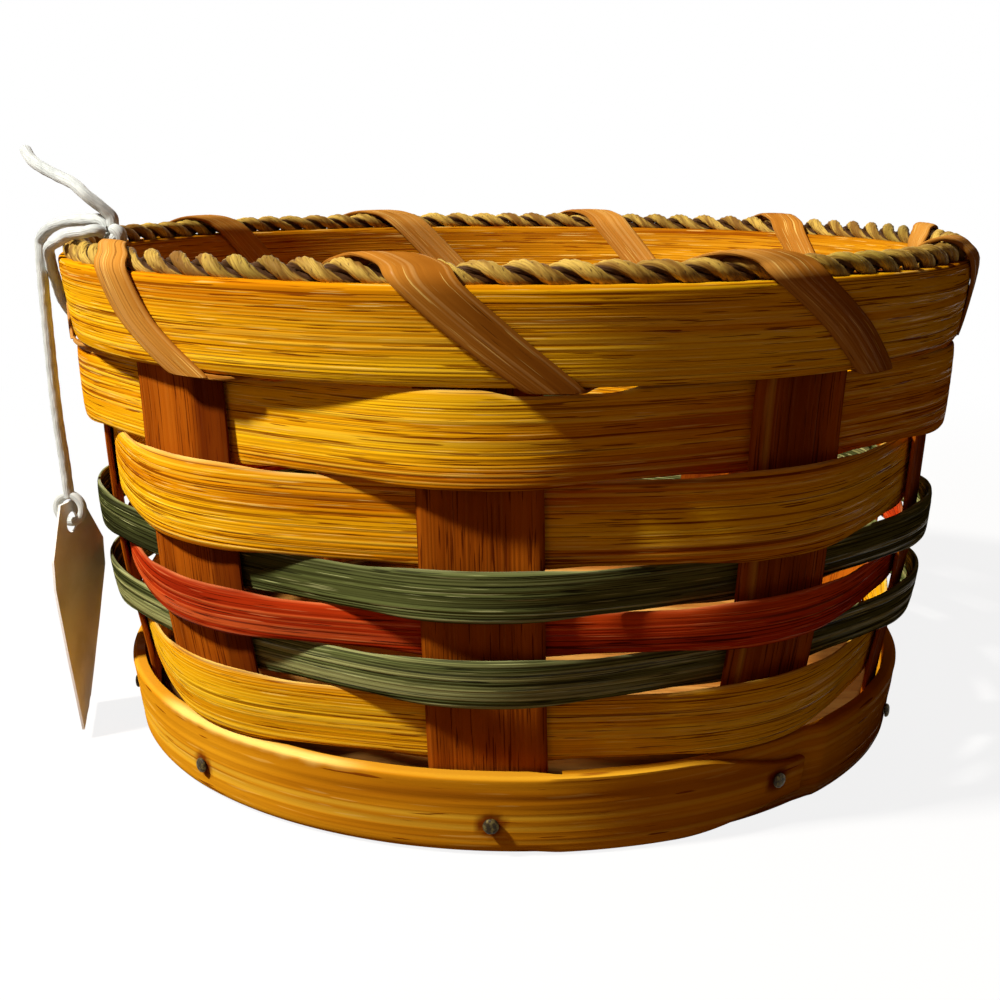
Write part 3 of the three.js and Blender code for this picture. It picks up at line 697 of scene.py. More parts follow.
class Shaper:
    """A bmesh on its way to be a piece, with the layers that the finishes read."""

    def __init__(self) -> None:
        """Starts an empty mesh."""
        self.bm = bmesh.new()
        self.grain = self.bm.verts.layers.float_vector.new("grain")
        self.edge = self.bm.verts.layers.float.new("edge")
        self.stain_and_painted_light = self.bm.verts.layers.float.new("stain_and_painted_light")

    def put(self, vert: bmesh.types.BMVert, spot: Spot) -> None:
        """Moves a vertex to its spot and inks its layers."""
        vert.co = spot.place * MM
        vert[self.grain] = spot.grain * MM
        vert[self.edge] = spot.edge
        vert[self.stain_and_painted_light] = spot.stain_and_painted_light

    def doubled(self) -> set[bmesh.types.BMVert]:
        """Gives the sheet a second face, closed at the edges, and returns that face's vertices."""
        copied = bmesh.ops.extrude_face_region(self.bm, geom=self.bm.faces[:])["geom"]
        return {v for v in copied if isinstance(v, bmesh.types.BMVert)}

    def strip(self, along: int, across: int, section: Callable[[float], Section]) -> Shaper:
        """Bends a closed flat strip along its formula.

        Args:
            along: How many steps it has along its length.
            across: How many it has across its width, closer together at its edges.
            section: Gives the strip's section at each share of its length.

        Returns:
            The shaper.
        """
        bmesh.ops.create_grid(self.bm, x_segments=along, y_segments=across, size=1.0)
        inner = self.doubled()
        sections = [section(step / along) for step in range(along + 1)]
        for vert in self.bm.verts:
            shape = sections[round((vert.co.x + 1) / 2 * along)]
            reach = lerp(vert.co.y, math.sin(math.pi / 2 * vert.co.y), 0.45)
            self.put(vert, shape(reach, Face.INNER if vert in inner else Face.OUTER))
        return self

    def tube(
        self,
        line: Sequence[Vector],
        sides: int,
        ring: Ring,
        frames: Frames | None = None,
        looped: bool = False,
    ) -> Shaper:
        """Sweeps a ring along a line.

        Args:
            line: The centre line's points.
            sides: How many sides the ring has.
            ring: Gives its radius and edge mask at a length along the line and an angle.
            frames: Two directions across the line at each point; carried along where None.
            looped: Whether the line's ends are one point.

        Returns:
            The shaper.
        """
        bm = self.bm
        steps = len(line) - 1
        frames = frames or carried(line, looped)
        gone = lengths(line)
        bmesh.ops.create_grid(bm, x_segments=steps, y_segments=sides, size=1.0)
        for vert in bm.verts:
            i = round((vert.co.x + 1) / 2 * steps)
            angle = math.pi * (vert.co.y if vert.co.y < 0.9999 else -1.0)
            radius, edge = ring(gone[i], angle)
            side, up = frames[i]
            x, y = radius * math.cos(angle), radius * math.sin(angle)
            self.put(vert, Spot(line[i] + side * x + up * y, Vector((gone[i], x, y)), edge))
        bmesh.ops.remove_doubles(bm, verts=bm.verts[:], dist=1e-7)
        if not looped:
            bmesh.ops.edgeloop_fill(bm, edges=[edge for edge in bm.edges if edge.is_boundary])
        return self

    def lathe(self, profile: Sequence[tuple[float, float]], steps: int) -> Shaper:
        """Turns a profile about the upright axis, still in millimetres.

        Args:
            profile: Radius and height of each of its points.
            steps: How many steps it takes to go round.

        Returns:
            The shaper.
        """
        bm = self.bm
        verts = [bm.verts.new((radius, 0, height)) for radius, height in profile]
        edges = [bm.edges.new(pair) for pair in zip(verts, verts[1:])]
        bmesh.ops.spin(
            bm,
            geom=verts + edges,
            cent=(0, 0, 0),
            axis=UP,
            angle=FULL_TURN,
            steps=steps,
            use_merge=True,
        )
        bmesh.ops.remove_doubles(bm, verts=bm.verts[:], dist=1e-4)
        return self

    def stood(self, matrix: Matrix) -> Shaper:
        """Moves a turned mesh by a matrix in millimetres, and then into metres."""
        bmesh.ops.transform(self.bm, matrix=Matrix.Scale(MM, 4) @ matrix, verts=self.bm.verts[:])
        return self

    def finish(self, name: str, finish: Finish, node: str, body: str | None = "basket") -> Piece:
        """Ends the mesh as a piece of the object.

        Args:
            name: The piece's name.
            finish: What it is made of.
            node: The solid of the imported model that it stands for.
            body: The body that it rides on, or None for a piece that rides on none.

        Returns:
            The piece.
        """
        bm = self.bm
        bmesh.ops.recalc_face_normals(bm, faces=bm.faces)
        for face in bm.faces:
            face.smooth = True
        for edge in bm.edges:
            edge.smooth = edge.calc_face_angle(0.0) < SHARP
        mesh = bpy.data.meshes.new(name)
        bm.to_mesh(mesh)
        bm.free()
        mesh.materials.append(finish.material())
        piece = bpy.data.objects.new(name, mesh)
        bpy.context.scene.collection.objects.link(piece)
        if body is not None:
            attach(piece, body)
        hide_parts(node)
        return piece


def flat_oval(across: float, edge: float, power: float = 7.0) -> float:
    """Gives the share of its thickness that a flat strip has across its width.

    Args:
        across: From -1 at one edge to 1 at the other.
        edge: The share that is left at the very edge.
        power: How far out the flat part reaches.

    Returns:
        The share.
    """
    return edge + (1 - edge) * math.sqrt(max(0.0, 1 - abs(across) ** power))


def rounded(off: float, radius: float) -> float:
    """Gives how much a rounded edge takes away at a distance from it."""
    return radius - math.sqrt(max(0.0, radius**2 - max(0.0, radius - off) ** 2))


def lay(along: float, across: float, seed: float, face: Face) -> Vector:
    """Gives a strip's grain, with the two faces 14 mm apart in the wood."""
    return Vector((along, across, seed + face.value * 7))


# The basket's side


@dataclass
class Wall:
    """The side of the basket: the radius of the stakes' middle at each height."""

    heights: tuple[float, ...] = (0.0, 16.0, 40.4, 60.6, 84.8, 101.0)
    radii: tuple[float, ...] = (79.6, 81.7, 85.9, 87.5, 88.8, 91.2)
    pairs: int = 5
    stake_width: float = 20.5
    stake_thickness: float = 1.2
    clearance: float = 0.3
    facet: float = 3.6

    def __post_init__(self) -> None:
        """Works out the degrees between two stakes, half a stake and the heights of the rim."""
        self.pitch = 180 / self.pairs
        self.half_stake = self.stake_thickness / 2
        self.rim_bottom, self.rim_top = self.heights[-2:]

    def radius(self, height: float) -> float:
        """Gives the radius of the stakes' middle.

        Args:
            height: The height that it is asked for.

        Returns:
            The radius there.
        """
        z, r = self.heights, self.radii
        height = max(height, 0.0)
        slope = [(r[k + 1] - r[k]) / (z[k + 1] - z[k]) for k in range(len(z) - 1)]
        if height >= self.rim_bottom:
            return r[-2] + slope[-1] * (height - z[-2])
        i = max(k for k in range(len(z) - 2) if height >= z[k])
        span = z[i + 1] - z[i]
        leave = (slope[max(i - 1, 0)] + slope[i]) / 2 * span
        arrive = (slope[i] + slope[i + 1]) / 2 * span
        return hermite(r[i], r[i + 1], leave, arrive, (height - z[i]) / span)

    def corner_rise(self, radius: float) -> float:
        """Gives how much further out a flat stake's corners stand than its middle."""
        return math.hypot(radius, self.stake_width / 2) - radius

    def sag(self, radius: float) -> float:
        """Gives how far inside its circle a flat between two facets lies."""
        return radius / math.cos(math.radians(self.facet)) - radius

    def outer_seat(self, height: float) -> float:
        """Gives the radius at which a ring sits outside on the stakes."""
        face = self.radius(height) + self.half_stake
        corner = face + self.corner_rise(face)
        return corner + self.clearance + self.sag(corner)

    def inner_seat(self, height: float) -> float:
        """Gives the radius at which a ring sits inside on the stakes."""
        return self.radius(height) - self.half_stake - self.clearance


WALL = Wall()


@dataclass(frozen=True)
class Lap:
    """A ring strip that laps over itself, each end pared to half its thickness."""

    start: float
    degrees: float
    radius: float
    thickness: float
    end_gap: float = 0.5
    paring: float = 3.6

    @property
    def total(self) -> float:
        """Gives the degrees that the strip runs round."""
        return 360 + self.degrees

    def station(self, share: float) -> tuple[float, float, float, float]:
        """Gives the strip's place at a share of its length.

        Args:
            share: The share.

        Returns:
            The azimuth, the length gone, and the inner and outer face's offset from the middle.
        """
        turn = share * self.total
        gap = math.degrees(self.end_gap / self.radius)
        outer = clamp((turn - self.degrees - gap) / self.paring)
        inner = clamp((360 - gap - turn) / self.paring)
        half = self.thickness / 2
        slit = WALL.clearance / 2
        faces = lerp(slit, -half, inner), lerp(-slit, half, outer)
        return self.start + turn, math.radians(turn) * self.radius, *faces


@dataclass(frozen=True)
class Reed:
    """One woven row: a flat reed over one stake and behind the next.

    Its side is 1 where it lies over the front stake, and -1 where it lies behind it.
    """

    name: str
    node: str
    bottom: float
    width: float
    lap_stake: int
    side: int
    finish: Finish
    seed: float
    spread_top: float = 0.7
    slack: float = 0.6
    rise: float = 0.0
    spread: float = 0.7
    thickness: float = 1.0
    crown: float = 0.16
    uneven: float = 0.12
    lap_margin: float = 4.0

    def build(self) -> Piece:
        """Weaves the row."""
        top = self.bottom + self.width
        seed = self.seed
        radius = WALL.radius((self.bottom + top) / 2)
        corner = math.cos(WALL.pairs * math.atan(WALL.stake_width / 2 / radius))
        behind = WALL.half_stake + WALL.clearance + self.thickness / 2
        over = behind + WALL.corner_rise(radius) + WALL.sag(radius)
        bow = (over - behind * corner) / (corner + corner**2) + self.slack / 2
        margin = self.lap_margin
        lap = Lap(self.lap_stake * WALL.pitch - margin, 2 * (WALL.pitch + margin), radius, self.thickness)

        def section(share: float) -> Section:
            """Gives the reed's section at a share of its length."""
            azimuth, length, inner, outer = lap.station(share)
            wave = self.side * math.cos(WALL.pairs * math.radians(azimuth))
            lift = (behind + bow) * wave + bow * wave * wave + (inner + outer) / 2
            opened = smoothstep(abs(wave), 0.4, 0.95)
            low = self.bottom - self.spread * opened + self.uneven * rough(length / 21, 0, seed)
            high = top + self.spread_top * opened + self.uneven * rough(length / 17, 5, seed)
            high += self.rise * RIM.free_below(azimuth)
            low_r, high_r = WALL.radius(low), WALL.radius(high)
            # Painted highlight along the reed's top edge: how pale it is painted
            bare = 0.3 + 0.3 * rough(length / 8, 3, seed)

            def spot(across: float, face: Face) -> Spot:
                """Gives a point of the section."""
                share_up = (across + 1) / 2
                z = lerp(low, high, share_up)
                v = z - self.bottom - self.width / 2
                fibre = rough(length / 34, v / 0.55, seed) + 0.5 * rough(length / 9, v / 1.4, seed)
                offset = face.value * ((outer - inner) / 2 * flat_oval(across, 0.3) + 0.05 * fibre)
                offset += self.crown * (1 - across**2)
                place = at(azimuth, lerp(low_r, high_r, share_up) + lift + offset, z)
                grain = lay(length, v, seed * 100, face)
                return Spot(place, grain, abs(across) ** 9, -bare * smoothstep(across, 0.9, 1.0))

            return spot

        steps = 26 if self.width > 10 else 18
        return Shaper().strip(round(lap.total), steps, section).finish(self.name, self.finish, self.node)


@dataclass(frozen=True)
class Weave:
    """The six woven rows, from the foot up, each opposite to its neighbours."""

    start: float = 17.0
    gap: float = 0.3
    rows: tuple[tuple[str, str, float, int, Finish], ...] = (
        ("reed_row_6_foot", "weaver_6_foot", 12.4, 4, HONEY),
        ("reed_row_5_green", "weaver_5_green", 7.8, 5, GREEN),
        ("reed_row_4_red", "weaver_4_red", 7.6, 6, RED),
        ("reed_row_3_green", "weaver_3_green", 7.8, 3, GREEN),
        ("reed_row_2_wide", "weaver_2_wide", 14.7, 4, HONEY),
        ("reed_row_1_top", "weaver_1_top", 14.6, 5, HONEY),
    )
    top_row: tuple[float, float, float] = (0.0, 1.1, 1.0)

    def build(self) -> list[Piece]:
        """Weaves the rows in order; the top one has its own spread, slack and rise."""
        made = []
        level = self.start
        for i, (name, node, width, lap_stake, finish) in enumerate(self.rows):
            own = self.top_row if i == len(self.rows) - 1 else ()
            side = 1 if i % 2 else -1
            reed = Reed(name, node, level, width, lap_stake, side, finish, 3.7 * (i + 1), *own)
            made.append(reed.build())
            level += width + self.gap
        return made


@dataclass(frozen=True)
class Stakes:
    """Ten flat upright splints from the base up between the hoops."""

    low: float = 0.8
    high: float = 99.8
    edge_inset: float = 0.15
    edge_waver: float = 0.12
    nowhere: float = 99.0

    # By stake: how much wider it is at its left and right, and its sway at foot and head
    uneven: Mapping[int, tuple[float, float, float, float]] = field(
        default_factory=lambda: {
            0: (0.3, 0.5, 1.5, 0.2),
            1: (0.2, 0.3, 0.6, 2.3),
            3: (1.0, 0.0, -0.6, 0.4),
            6: (0.0, 1.2, 0.5, -0.5),
            9: (4.9, 0.0, 0.3, -0.3),
        }
    )
    # By stake: where across it a darker side starts, on stake 9 a painted shadow and on stake 4 dark
    # heart-wood, and where a pale sapwood line runs
    painted_shadow_and_heartwood: Mapping[int, float] = field(default_factory=lambda: {9: 2.4, 4: -3.0})
    sapwood: Mapping[int, float] = field(default_factory=lambda: {1: -7.2, 6: 5.0})

    def build(self) -> list[Piece]:
        """Splits the stakes, from the front round."""
        return [self.stake(index) for index in range(2 * WALL.pairs)]

    def stake(self, index: int) -> Piece:
        """Splits one stake, bent along the wall beyond its flat middle.

        Args:
            index: Which one, counted from the front.

        Returns:
            The stake.
        """
        turn = Matrix.Rotation(math.radians(index * WALL.pitch), 3, "Z")
        seed = 2.3 * index + 40
        wider_left, wider_right, foot, head = self.uneven.get(index, (0.0, 0.0, 0.0, 0.0))
        dark_side = self.painted_shadow_and_heartwood.get(index, self.nowhere)
        pale = self.sapwood.get(index, self.nowhere)
        flat = WALL.stake_width / 2

        def section(share: float) -> Section:
            """Gives the stake's section at a share of its height."""
            z = lerp(self.low, self.high, share)
            radius = WALL.radius(z)
            left = flat + wider_left - self.edge_inset - self.edge_waver * rough(z / 14, 0, seed)
            right = flat + wider_right - self.edge_inset - self.edge_waver * rough(z / 11, 7, seed)
            sway = lerp(foot, head, share)

            def spot(across: float, face: Face) -> Spot:
                """Gives a point of the section."""
                x = lerp(-left, right, (across + 1) / 2)
                fibre = rough(z / 26, x / 0.7, seed) + 0.6 * rough(z / 40, x / 3, seed)
                offset = face.value * (WALL.half_stake * flat_oval(across, 0.35, 12) + 0.04 * fibre)
                level = clamp(x, -flat, flat)
                bend = Matrix.Rotation((x - level + sway) / radius, 3, "Z")
                place = turn @ bend @ Vector((level, -(radius + offset), z))
                # Painted shadow down the right side of stake 9, dark heart-wood on stake 4, and a pale
                # sapwood line
                off_dark_side = x + 0.4 * rough(z / 9, 2, seed) - dark_side
                off_sap = abs(x - pale + 0.4 * rough(z / 6, 4, seed))
                stain_and_painted_light = 0.75 * smoothstep(off_dark_side, -0.4, 0.4) - 0.9 * smoothstep(off_sap, 1.1, 0.3)
                return Spot(place, lay(z, x, seed * 100, face), abs(across) ** 14, stain_and_painted_light)

            return spot

        name = f"{index + 1:02d}"
        return Shaper().strip(80, 20, section).finish(f"splint_stake_{name}", STAKE, f"stake_{name}")


@dataclass(frozen=True)
class Base:
    """The solid bottom, the band nailed round it, and the brads."""

    thickness: float = 10.0
    edge_break: float = 0.8
    band_height: float = 16.0
    band_thickness: float = 2.7
    band_degree: float = 1.47
    foot: float = 1.9
    brow: float = 1.1
    taper: float = 19.0
    end_drop: float = 5.0
    end_rise: float = 3.2
    frayed_side: float = -32.0
    brad_height: float = 6.6
    head_radius: float = 1.45
    head_height: float = 0.85
    shank: float = 0.65
    brad_length: float = 12.0

    # By brad: how many degrees and millimetres it sits off its place
    drift: tuple[tuple[float, float], ...] = (
        (1.5, -0.4), (3.2, 1.4), (-1.2, 0.3), (0.8, -0.6), (-2.1, 0.5),
        (1.9, 0.2), (-0.6, -0.5), (2.4, 0.6), (-1.7, 0.1), (-4.6, -0.4),
    )

    def build(self) -> list[Piece]:
        """Builds the board, the band and the brads."""
        brads = []
        for i, (turn, lift) in enumerate(self.drift):
            z = self.brad_height + lift
            slope = WALL.outer_seat(z + 1) - WALL.outer_seat(z - 1)
            lean = abs(self.head_radius * slope / 2)
            seat = WALL.outer_seat(z) + self.band_thickness + lean + WALL.clearance / 2
            brads.append((i * WALL.pitch + turn, z, seat))
        return [self.board(), self.band(brads), *(self.brad(i, *brad) for i, brad in enumerate(brads))]

    def board(self) -> Piece:
        """Turns the round board, its two edges broken."""
        cut = self.edge_break
        turns = [math.pi / 2 * i / 4 for i in range(5)]
        under = [(cut * (1 - math.sin(a)), cut * (1 - math.cos(a))) for a in turns]
        side = under + [(inset, self.thickness - z) for inset, z in reversed(under)]
        profile = [(0.0, 0.0), *((WALL.inner_seat(z) - inset, z) for inset, z in side)]
        profile.append((0.0, self.thickness))
        return Shaper().lathe(profile, 128).stood(Matrix()).finish("base_board", BOARD, "base_disc")

    def band(self, brads: Sequence[tuple[float, float, float]]) -> Piece:
        """Bends the band, its outer end narrowed where it laps in view.

        Args:
            brads: Azimuth, height and seat of each brad, which stains the wood round it.

        Returns:
            The band.
        """
        lap = Lap(10, 34, WALL.radii[1], self.band_thickness)
        seed = 71.0

        def section(share: float) -> Section:
            """Gives the band's section at a share of its length."""
            azimuth, length, inner, outer = lap.station(share)
            thick = min(1, (outer - inner) / self.band_thickness * 1.2)
            narrow = smoothstep(share, 1 - self.taper / lap.total, 1)
            low = self.end_rise * narrow
            high = self.band_height - self.end_drop * narrow - 0.25 * (1 + rough(length / 13, 0, seed))

            def spot(across: float, face: Face) -> Spot:
                """Gives a point of the section."""
                z = lerp(low, high, (across + 1) / 2)
                middle = WALL.outer_seat(z) + self.band_thickness / 2
                grain = lay(length, z, seed, face)
                if face is Face.INNER:
                    return Spot(at(azimuth, middle + inner, z), grain, abs(across) ** 9)
                cut = max(rounded(z - low, self.foot * thick), rounded(high - z, self.brow * thick))
                wave = 0.07 * rough(length / 24, z / 3, seed) + 0.03 * rough(length / 12, z / 0.8, seed)
                near = min(math.hypot(apart(azimuth, a) * self.band_degree, z - h) for a, h, _ in brads)
                stain_and_painted_light = 0.95 * smoothstep(near + 0.6 * rough(length / 2, z / 2, seed), 3.3, 1.7)
                frayed = smoothstep(z, high - 1.6 + rough(length / 3, 2, seed), high)
                stain_and_painted_light -= 0.6 * frayed * smoothstep(apart(azimuth, self.frayed_side), 20, 12)
                return Spot(at(azimuth, middle + outer - cut + wave, z), grain, abs(across) ** 12, stain_and_painted_light)

            return spot

        return Shaper().strip(520, 28, section).finish("nailed_band", BAND, "base_band")

    def brad(self, index: int, azimuth: float, height: float, seat: float) -> Piece:
        """Drives one brad.

        Args:
            index: Which one, counted from the front.
            azimuth: Its azimuth.
            height: Its height.
            seat: The radius at which its head sits on the band.

        Returns:
            The brad.
        """
        r = self.head_radius
        profile = [(0.0, -self.brad_length), (self.shank, 2 - self.brad_length), (self.shank, 0.0)]
        profile += [(r * 0.9, 0.0), (r, 0.12)]
        for i in range(6):
            a = math.pi / 2 * i / 5
            profile.append((r * math.cos(a) ** 0.8, lerp(0.25, self.head_height, math.sin(a))))
        shaper = Shaper().lathe(profile, 24)
        for vert in shaper.bm.verts:
            if vert.co.z > 0.2:
                vert.co += vert.co * 0.05 * rough(vert.co.x * 1.4, vert.co.y * 1.4, index * 3.1)
        stand = UP.rotation_difference(at(azimuth, 1, 0)).to_matrix().to_4x4()
        shaper.stood(Matrix.Translation(at(azimuth, seat, height)) @ stand)
        name = f"{index + 1:02d}"
        return shaper.finish(f"round_brad_{name}", NAIL, f"brad_{name}")


@dataclass
class Rim:
    """Two hoops, the twisted filler on top of them and the lashing round all three."""

    height: float = 16.2
    outer_thickness: float = 2.6
    inner_thickness: float = 2.2
    hoop_lap: float = 32.0
    strand_radius: float = 1.12
    turns: int = 41
    steps_per_turn: int = 24
    join: float = 205.0
    join_gap: float = 0.8
    sink: float = 1.45
    lash_width: float = 7.3
    lash_thickness: float = 0.8
    lash_start: float = -4.0
    lash_gains: tuple[float, float, float] = (0.33, 0.12, 0.28)
    string_tuck: float = -87.5

    # By lap: how many degrees it sways at the outer hoop's top, middle and foot, and below
    lash_sway: tuple[tuple[float, float, float, float], ...] = (
        (0.1, -0.4, -0.2, 0.0),
        (0.9, 1.9, 1.5, 0.6),
        (2.0, 4.0, 4.0, 1.5),
        (-1.0, 0.5, 1.0, 0.4),
        (0.5, -0.8, -1.2, 0.0),
        (-0.8, -1.5, -0.5, 0.2),
        (1.0, 1.5, 0.5, 0.0),
        (-0.4, 0.6, 1.0, 0.3),
        (-7.5, -8.5, -7.8, -0.6),
        (-2.5, -5.4, -4.4, -1.4),
    )

    def __post_init__(self) -> None:
        """Works out where the outer hoop's face, the filler and its two strands lie."""
        self.outer_face = self.outside(WALL.rim_top)
        self.filler_offset = self.strand_radius + WALL.clearance / 2
        self.filler_reach = self.filler_offset + self.strand_radius
        self.filler_radius = (self.outer_face + self.inside(WALL.rim_top)) / 2
        self.filler_height = WALL.rim_top + WALL.clearance + self.filler_reach - self.sink

    def outside(self, height: float) -> float:
        """Gives the radius of the outer hoop's face."""
        return WALL.outer_seat(height) + self.outer_thickness

    def inside(self, height: float) -> float:
        """Gives the radius of the inner hoop's face."""
        return WALL.inner_seat(height) - self.inner_thickness

    def build(self) -> list[Piece]:
        """Builds the hoops, the filler and the lashing."""
        return [
            self.hoop("outer_hoop", "outer_rim_hoop", self.outer_thickness, Face.OUTER, 150),
            self.hoop("inner_hoop", "inner_rim_hoop", self.inner_thickness, Face.INNER, 20),
            self.strand("seagrass_ply_a", "seagrass_strand_a", 0.0),
            self.strand("seagrass_ply_b", "seagrass_strand_b", math.pi),
            self.lashing(),
        ]

    def free_below(self, azimuth: float) -> float:
        """Tells where nothing passes under the hoops.

        Args:
            azimuth: Where it is asked for.

        Returns:
            0 where the lashing or the string passes, and 1 clear of both.
        """
        passes = [(self.string_tuck - 3.5, self.string_tuck + 3.5)]
        for lap, (_, _, foot, under) in enumerate(self.lash_sway):
            left = self.lash_start + WALL.pitch * (lap + self.lash_gains[0])
            right = left + WALL.pitch * self.lash_gains[1]
            passes.append((left + min(foot, under) - 1, right + max(foot, under)))
        off = min(apart(azimuth, (left + right) / 2) - (right - left) / 2 for left, right in passes)
        return smoothstep(off, 2.0, 6.0)

    def hoop(self, name: str, node: str, thickness: float, side: Face, start: float) -> Piece:
        """Bends one hoop.

        Args:
            name: The piece's name.
            node: The solid that it stands for.
            thickness: The hoop's thickness.
            side: Which side of the stakes it lies on.
            start: Azimuth at which its lap starts.

        Returns:
            The hoop.
        """
        seat = WALL.outer_seat if side is Face.OUTER else WALL.inner_seat
        lap = Lap(start, self.hoop_lap, WALL.radii[-1], thickness)
        seed = 80.0 + start
        bottom, top = WALL.rim_bottom, WALL.rim_top
        low_r, high_r = (seat(z) + side.value * thickness / 2 for z in (bottom, top))

        def section(share: float) -> Section:
            """Gives the hoop's section at a share of its length."""
            azimuth, length, inner, outer = lap.station(share)
            low = bottom + 0.1 * rough(length / 25, 3, seed)
            high = top - 0.12 - 0.1 * rough(length / 19, 8, seed)

            def spot(across: float, face: Face) -> Spot:
                """Gives a point of the section."""
                share_up = (across + 1) / 2
                v = across * self.height / 2
                if face is side:
                    fibre = rough(length / 42, v / 0.6, seed) + 0.6 * rough(length / 13, v / 1.6, seed)
                    form, relief = flat_oval(across, 0.45, 9), 0.06 * fibre
                else:
                    form, relief = flat_oval(across, 0.8, 30), 0.0
                offset = (inner + outer) / 2 + face.value * ((outer - inner) / 2 * form + relief)
                place = at(azimuth, lerp(low_r, high_r, share_up) + offset, lerp(low, high, share_up))
                return Spot(place, lay(length, v, seed, face), abs(across) ** 12)

            return spot

        finish = HOOP if side is Face.OUTER else INNER_HOOP_PAINTED_SHADE
        return Shaper().strip(480, 32, section).finish(name, finish, node)

    def strand(self, name: str, node: str, phase: float) -> Piece:
        """Lays one ply of the filler.

        Args:
            name: The piece's name.
            node: The solid that it stands for.
            phase: Where round the filler it starts.

        Returns:
            The ply.
        """
        steps = self.turns * self.steps_per_turn
        line, outwards = [], []
        for i in range(steps + 1):
            turn = i / steps * (FULL_TURN - self.join_gap / self.filler_radius)
            azimuth = self.join + math.degrees(turn)
            wound = phase - self.turns * turn - 0.7 * rough(i / 60, 0, 5.0)
            reach = self.filler_offset * (0.9 + 0.08 * rough(i / 30, 4, 5.0))
            out = at(azimuth, math.cos(wound), math.sin(wound))
            line.append(at(azimuth, self.filler_radius, self.filler_height - 0.05) + out * reach)
            outwards.append(out)
        frames = []
        for out, ahead in zip(outwards, directions(line, False)):
            side = (out - ahead * out.dot(ahead)).normalized()
            frames.append((side, ahead.cross(side)))

        def ring(gone: float, angle: float) -> tuple[float, float]:
            """Gives the ply's radius and how deep in the lay a point is, for the painted shade of the
            finish.
            """
            blade = abs(math.cos(2.5 * (angle - gone / 2.6)))
            swell = 1 + 0.16 * rough(gone / 3.2, 2, phase + 1) + 0.2 * (blade - 0.6)
            deep = smoothstep(math.cos(angle), 0.35, -0.45)
            furrow = smoothstep(blade, 0.4, 0.0) * 0.75
            return (self.strand_radius + 0.16) * swell * (1 - 0.1 * deep), max(deep, furrow)

        return Shaper().tube(line, 16, ring, frames).finish(name, GRASS, node)

    def crossings(self) -> list[tuple[float, float, float, float]]:
        """Gives one lap of the lashing.

        Returns:
            The radius, height, share of a stake spacing and half width at each crossing.
        """
        top, bottom = WALL.rim_top, WALL.rim_bottom
        middle = (top + bottom) / 2
        off = 0.12 + self.lash_thickness / 2
        hug, edge_break = off * math.sqrt(0.5), 0.6
        down, below, up = self.lash_gains
        across, whole = down + below, down + below + up
        under = self.lash_width / 2
        slant = under / math.sin(math.atan2(self.height, down * math.radians(WALL.pitch) * self.outer_face))
        reach = self.filler_reach + off
        over = []
        for degrees, part in ((150, 0.2), (120, 0.38), (90, 0.54), (60, 0.7), (30, 0.86)):
            angle = math.radians(degrees)
            r = self.filler_radius + reach * math.cos(angle)
            over.append((r, self.filler_height + reach * math.sin(angle), lerp(whole, 1, part), slant))
        return [
            (self.outside(top) + off, top, 0.0, slant),
            (self.outside(middle) + off, middle, down / 2, slant),
            (self.outside(bottom) + off, bottom, down, slant * 0.92),
            (self.outside(bottom) + hug, bottom - hug, down + 0.08 * below, under * 1.1),
            (self.outside(bottom) - edge_break, bottom - off, down + 0.3 * below, under),
            (WALL.radius(bottom), bottom - off, down + 0.58 * below, under),
            (self.inside(bottom) + edge_break, bottom - off, down + 0.85 * below, under),
            (self.inside(bottom) - hug, bottom - hug, across, under * 1.1),
            (self.inside(bottom) - off, bottom, across, slant * 0.92),
            (self.inside(middle) - off, middle, across + up / 2, slant),
            (self.inside(top) - off, top, whole, slant),
            *over,
        ]

    def winding(self) -> list[Vector]:
        """Gives the whole lashing's path, smoothed through its crossings.

        Returns:
            Its radius, height, stake spacings gone and half width at each point.
        """
        crossings = self.crossings()
        count = len(crossings)
        laps, first, fine = len(self.lash_sway), 9, 5
        posts = []
        for index in range(first - 1, first + laps * count + 2):
            lap, k = divmod(index, count)
            r, z, gain, half = crossings[k]
            here, after = self.lash_sway[lap % laps], self.lash_sway[(lap + 1) % laps]
            sway = lerp(here[3], after[0], smoothstep(k, 5, count))
            if k < 3:
                sway = here[k]
            elif k == 3:
                sway = lerp(here[2], here[3], 0.25)
            posts.append(Vector((r, z, lap + gain + sway / WALL.pitch, half)))
        path = []
        for p0, p1, p2, p3 in zip(posts, posts[1:], posts[2:], posts[3:]):
            for k in range(fine):
                curved = hermite(p1, p2, (p2 - p0) / 2, (p3 - p1) / 2, k / fine)
                path.append(p1.lerp(p2, k / fine).lerp(curved, 0.8))
        return [*path, posts[-2]]

    def lashing(self) -> Piece:
        """Winds the lashing strip: down outside, under, up inside and over the filler."""
        path = self.winding()
        gone, lean = [0.0], []
        for a, b in zip(path, path[1:]):
            sideways = (b[2] - a[2]) * math.radians(WALL.pitch) * self.outer_face
            downwards = math.hypot(b[0] - a[0], b[1] - a[1])
            gone.append(gone[-1] + math.hypot(sideways, downwards))
            lean.append(math.atan2(downwards, sideways))
        lean.append(lean[-1])
        last = len(path) - 1
        seed = 33.0

        def section(share: float) -> Section:
            """Gives the strip's section at a share of its length."""
            i = round(share * last)
            here, before, after = path[i], path[max(i - 1, 0)], path[min(i + 1, last)]
            way = Vector((after[0] - before[0], after[1] - before[1])).normalized()
            rise = 0.5 if i == 0 else -0.5 if i == last else 0.0
            azimuth = self.lash_start + WALL.pitch * here[2]
            spread = here[3] - 0.1 * (1 + rough(gone[i] / 9, 0, seed))

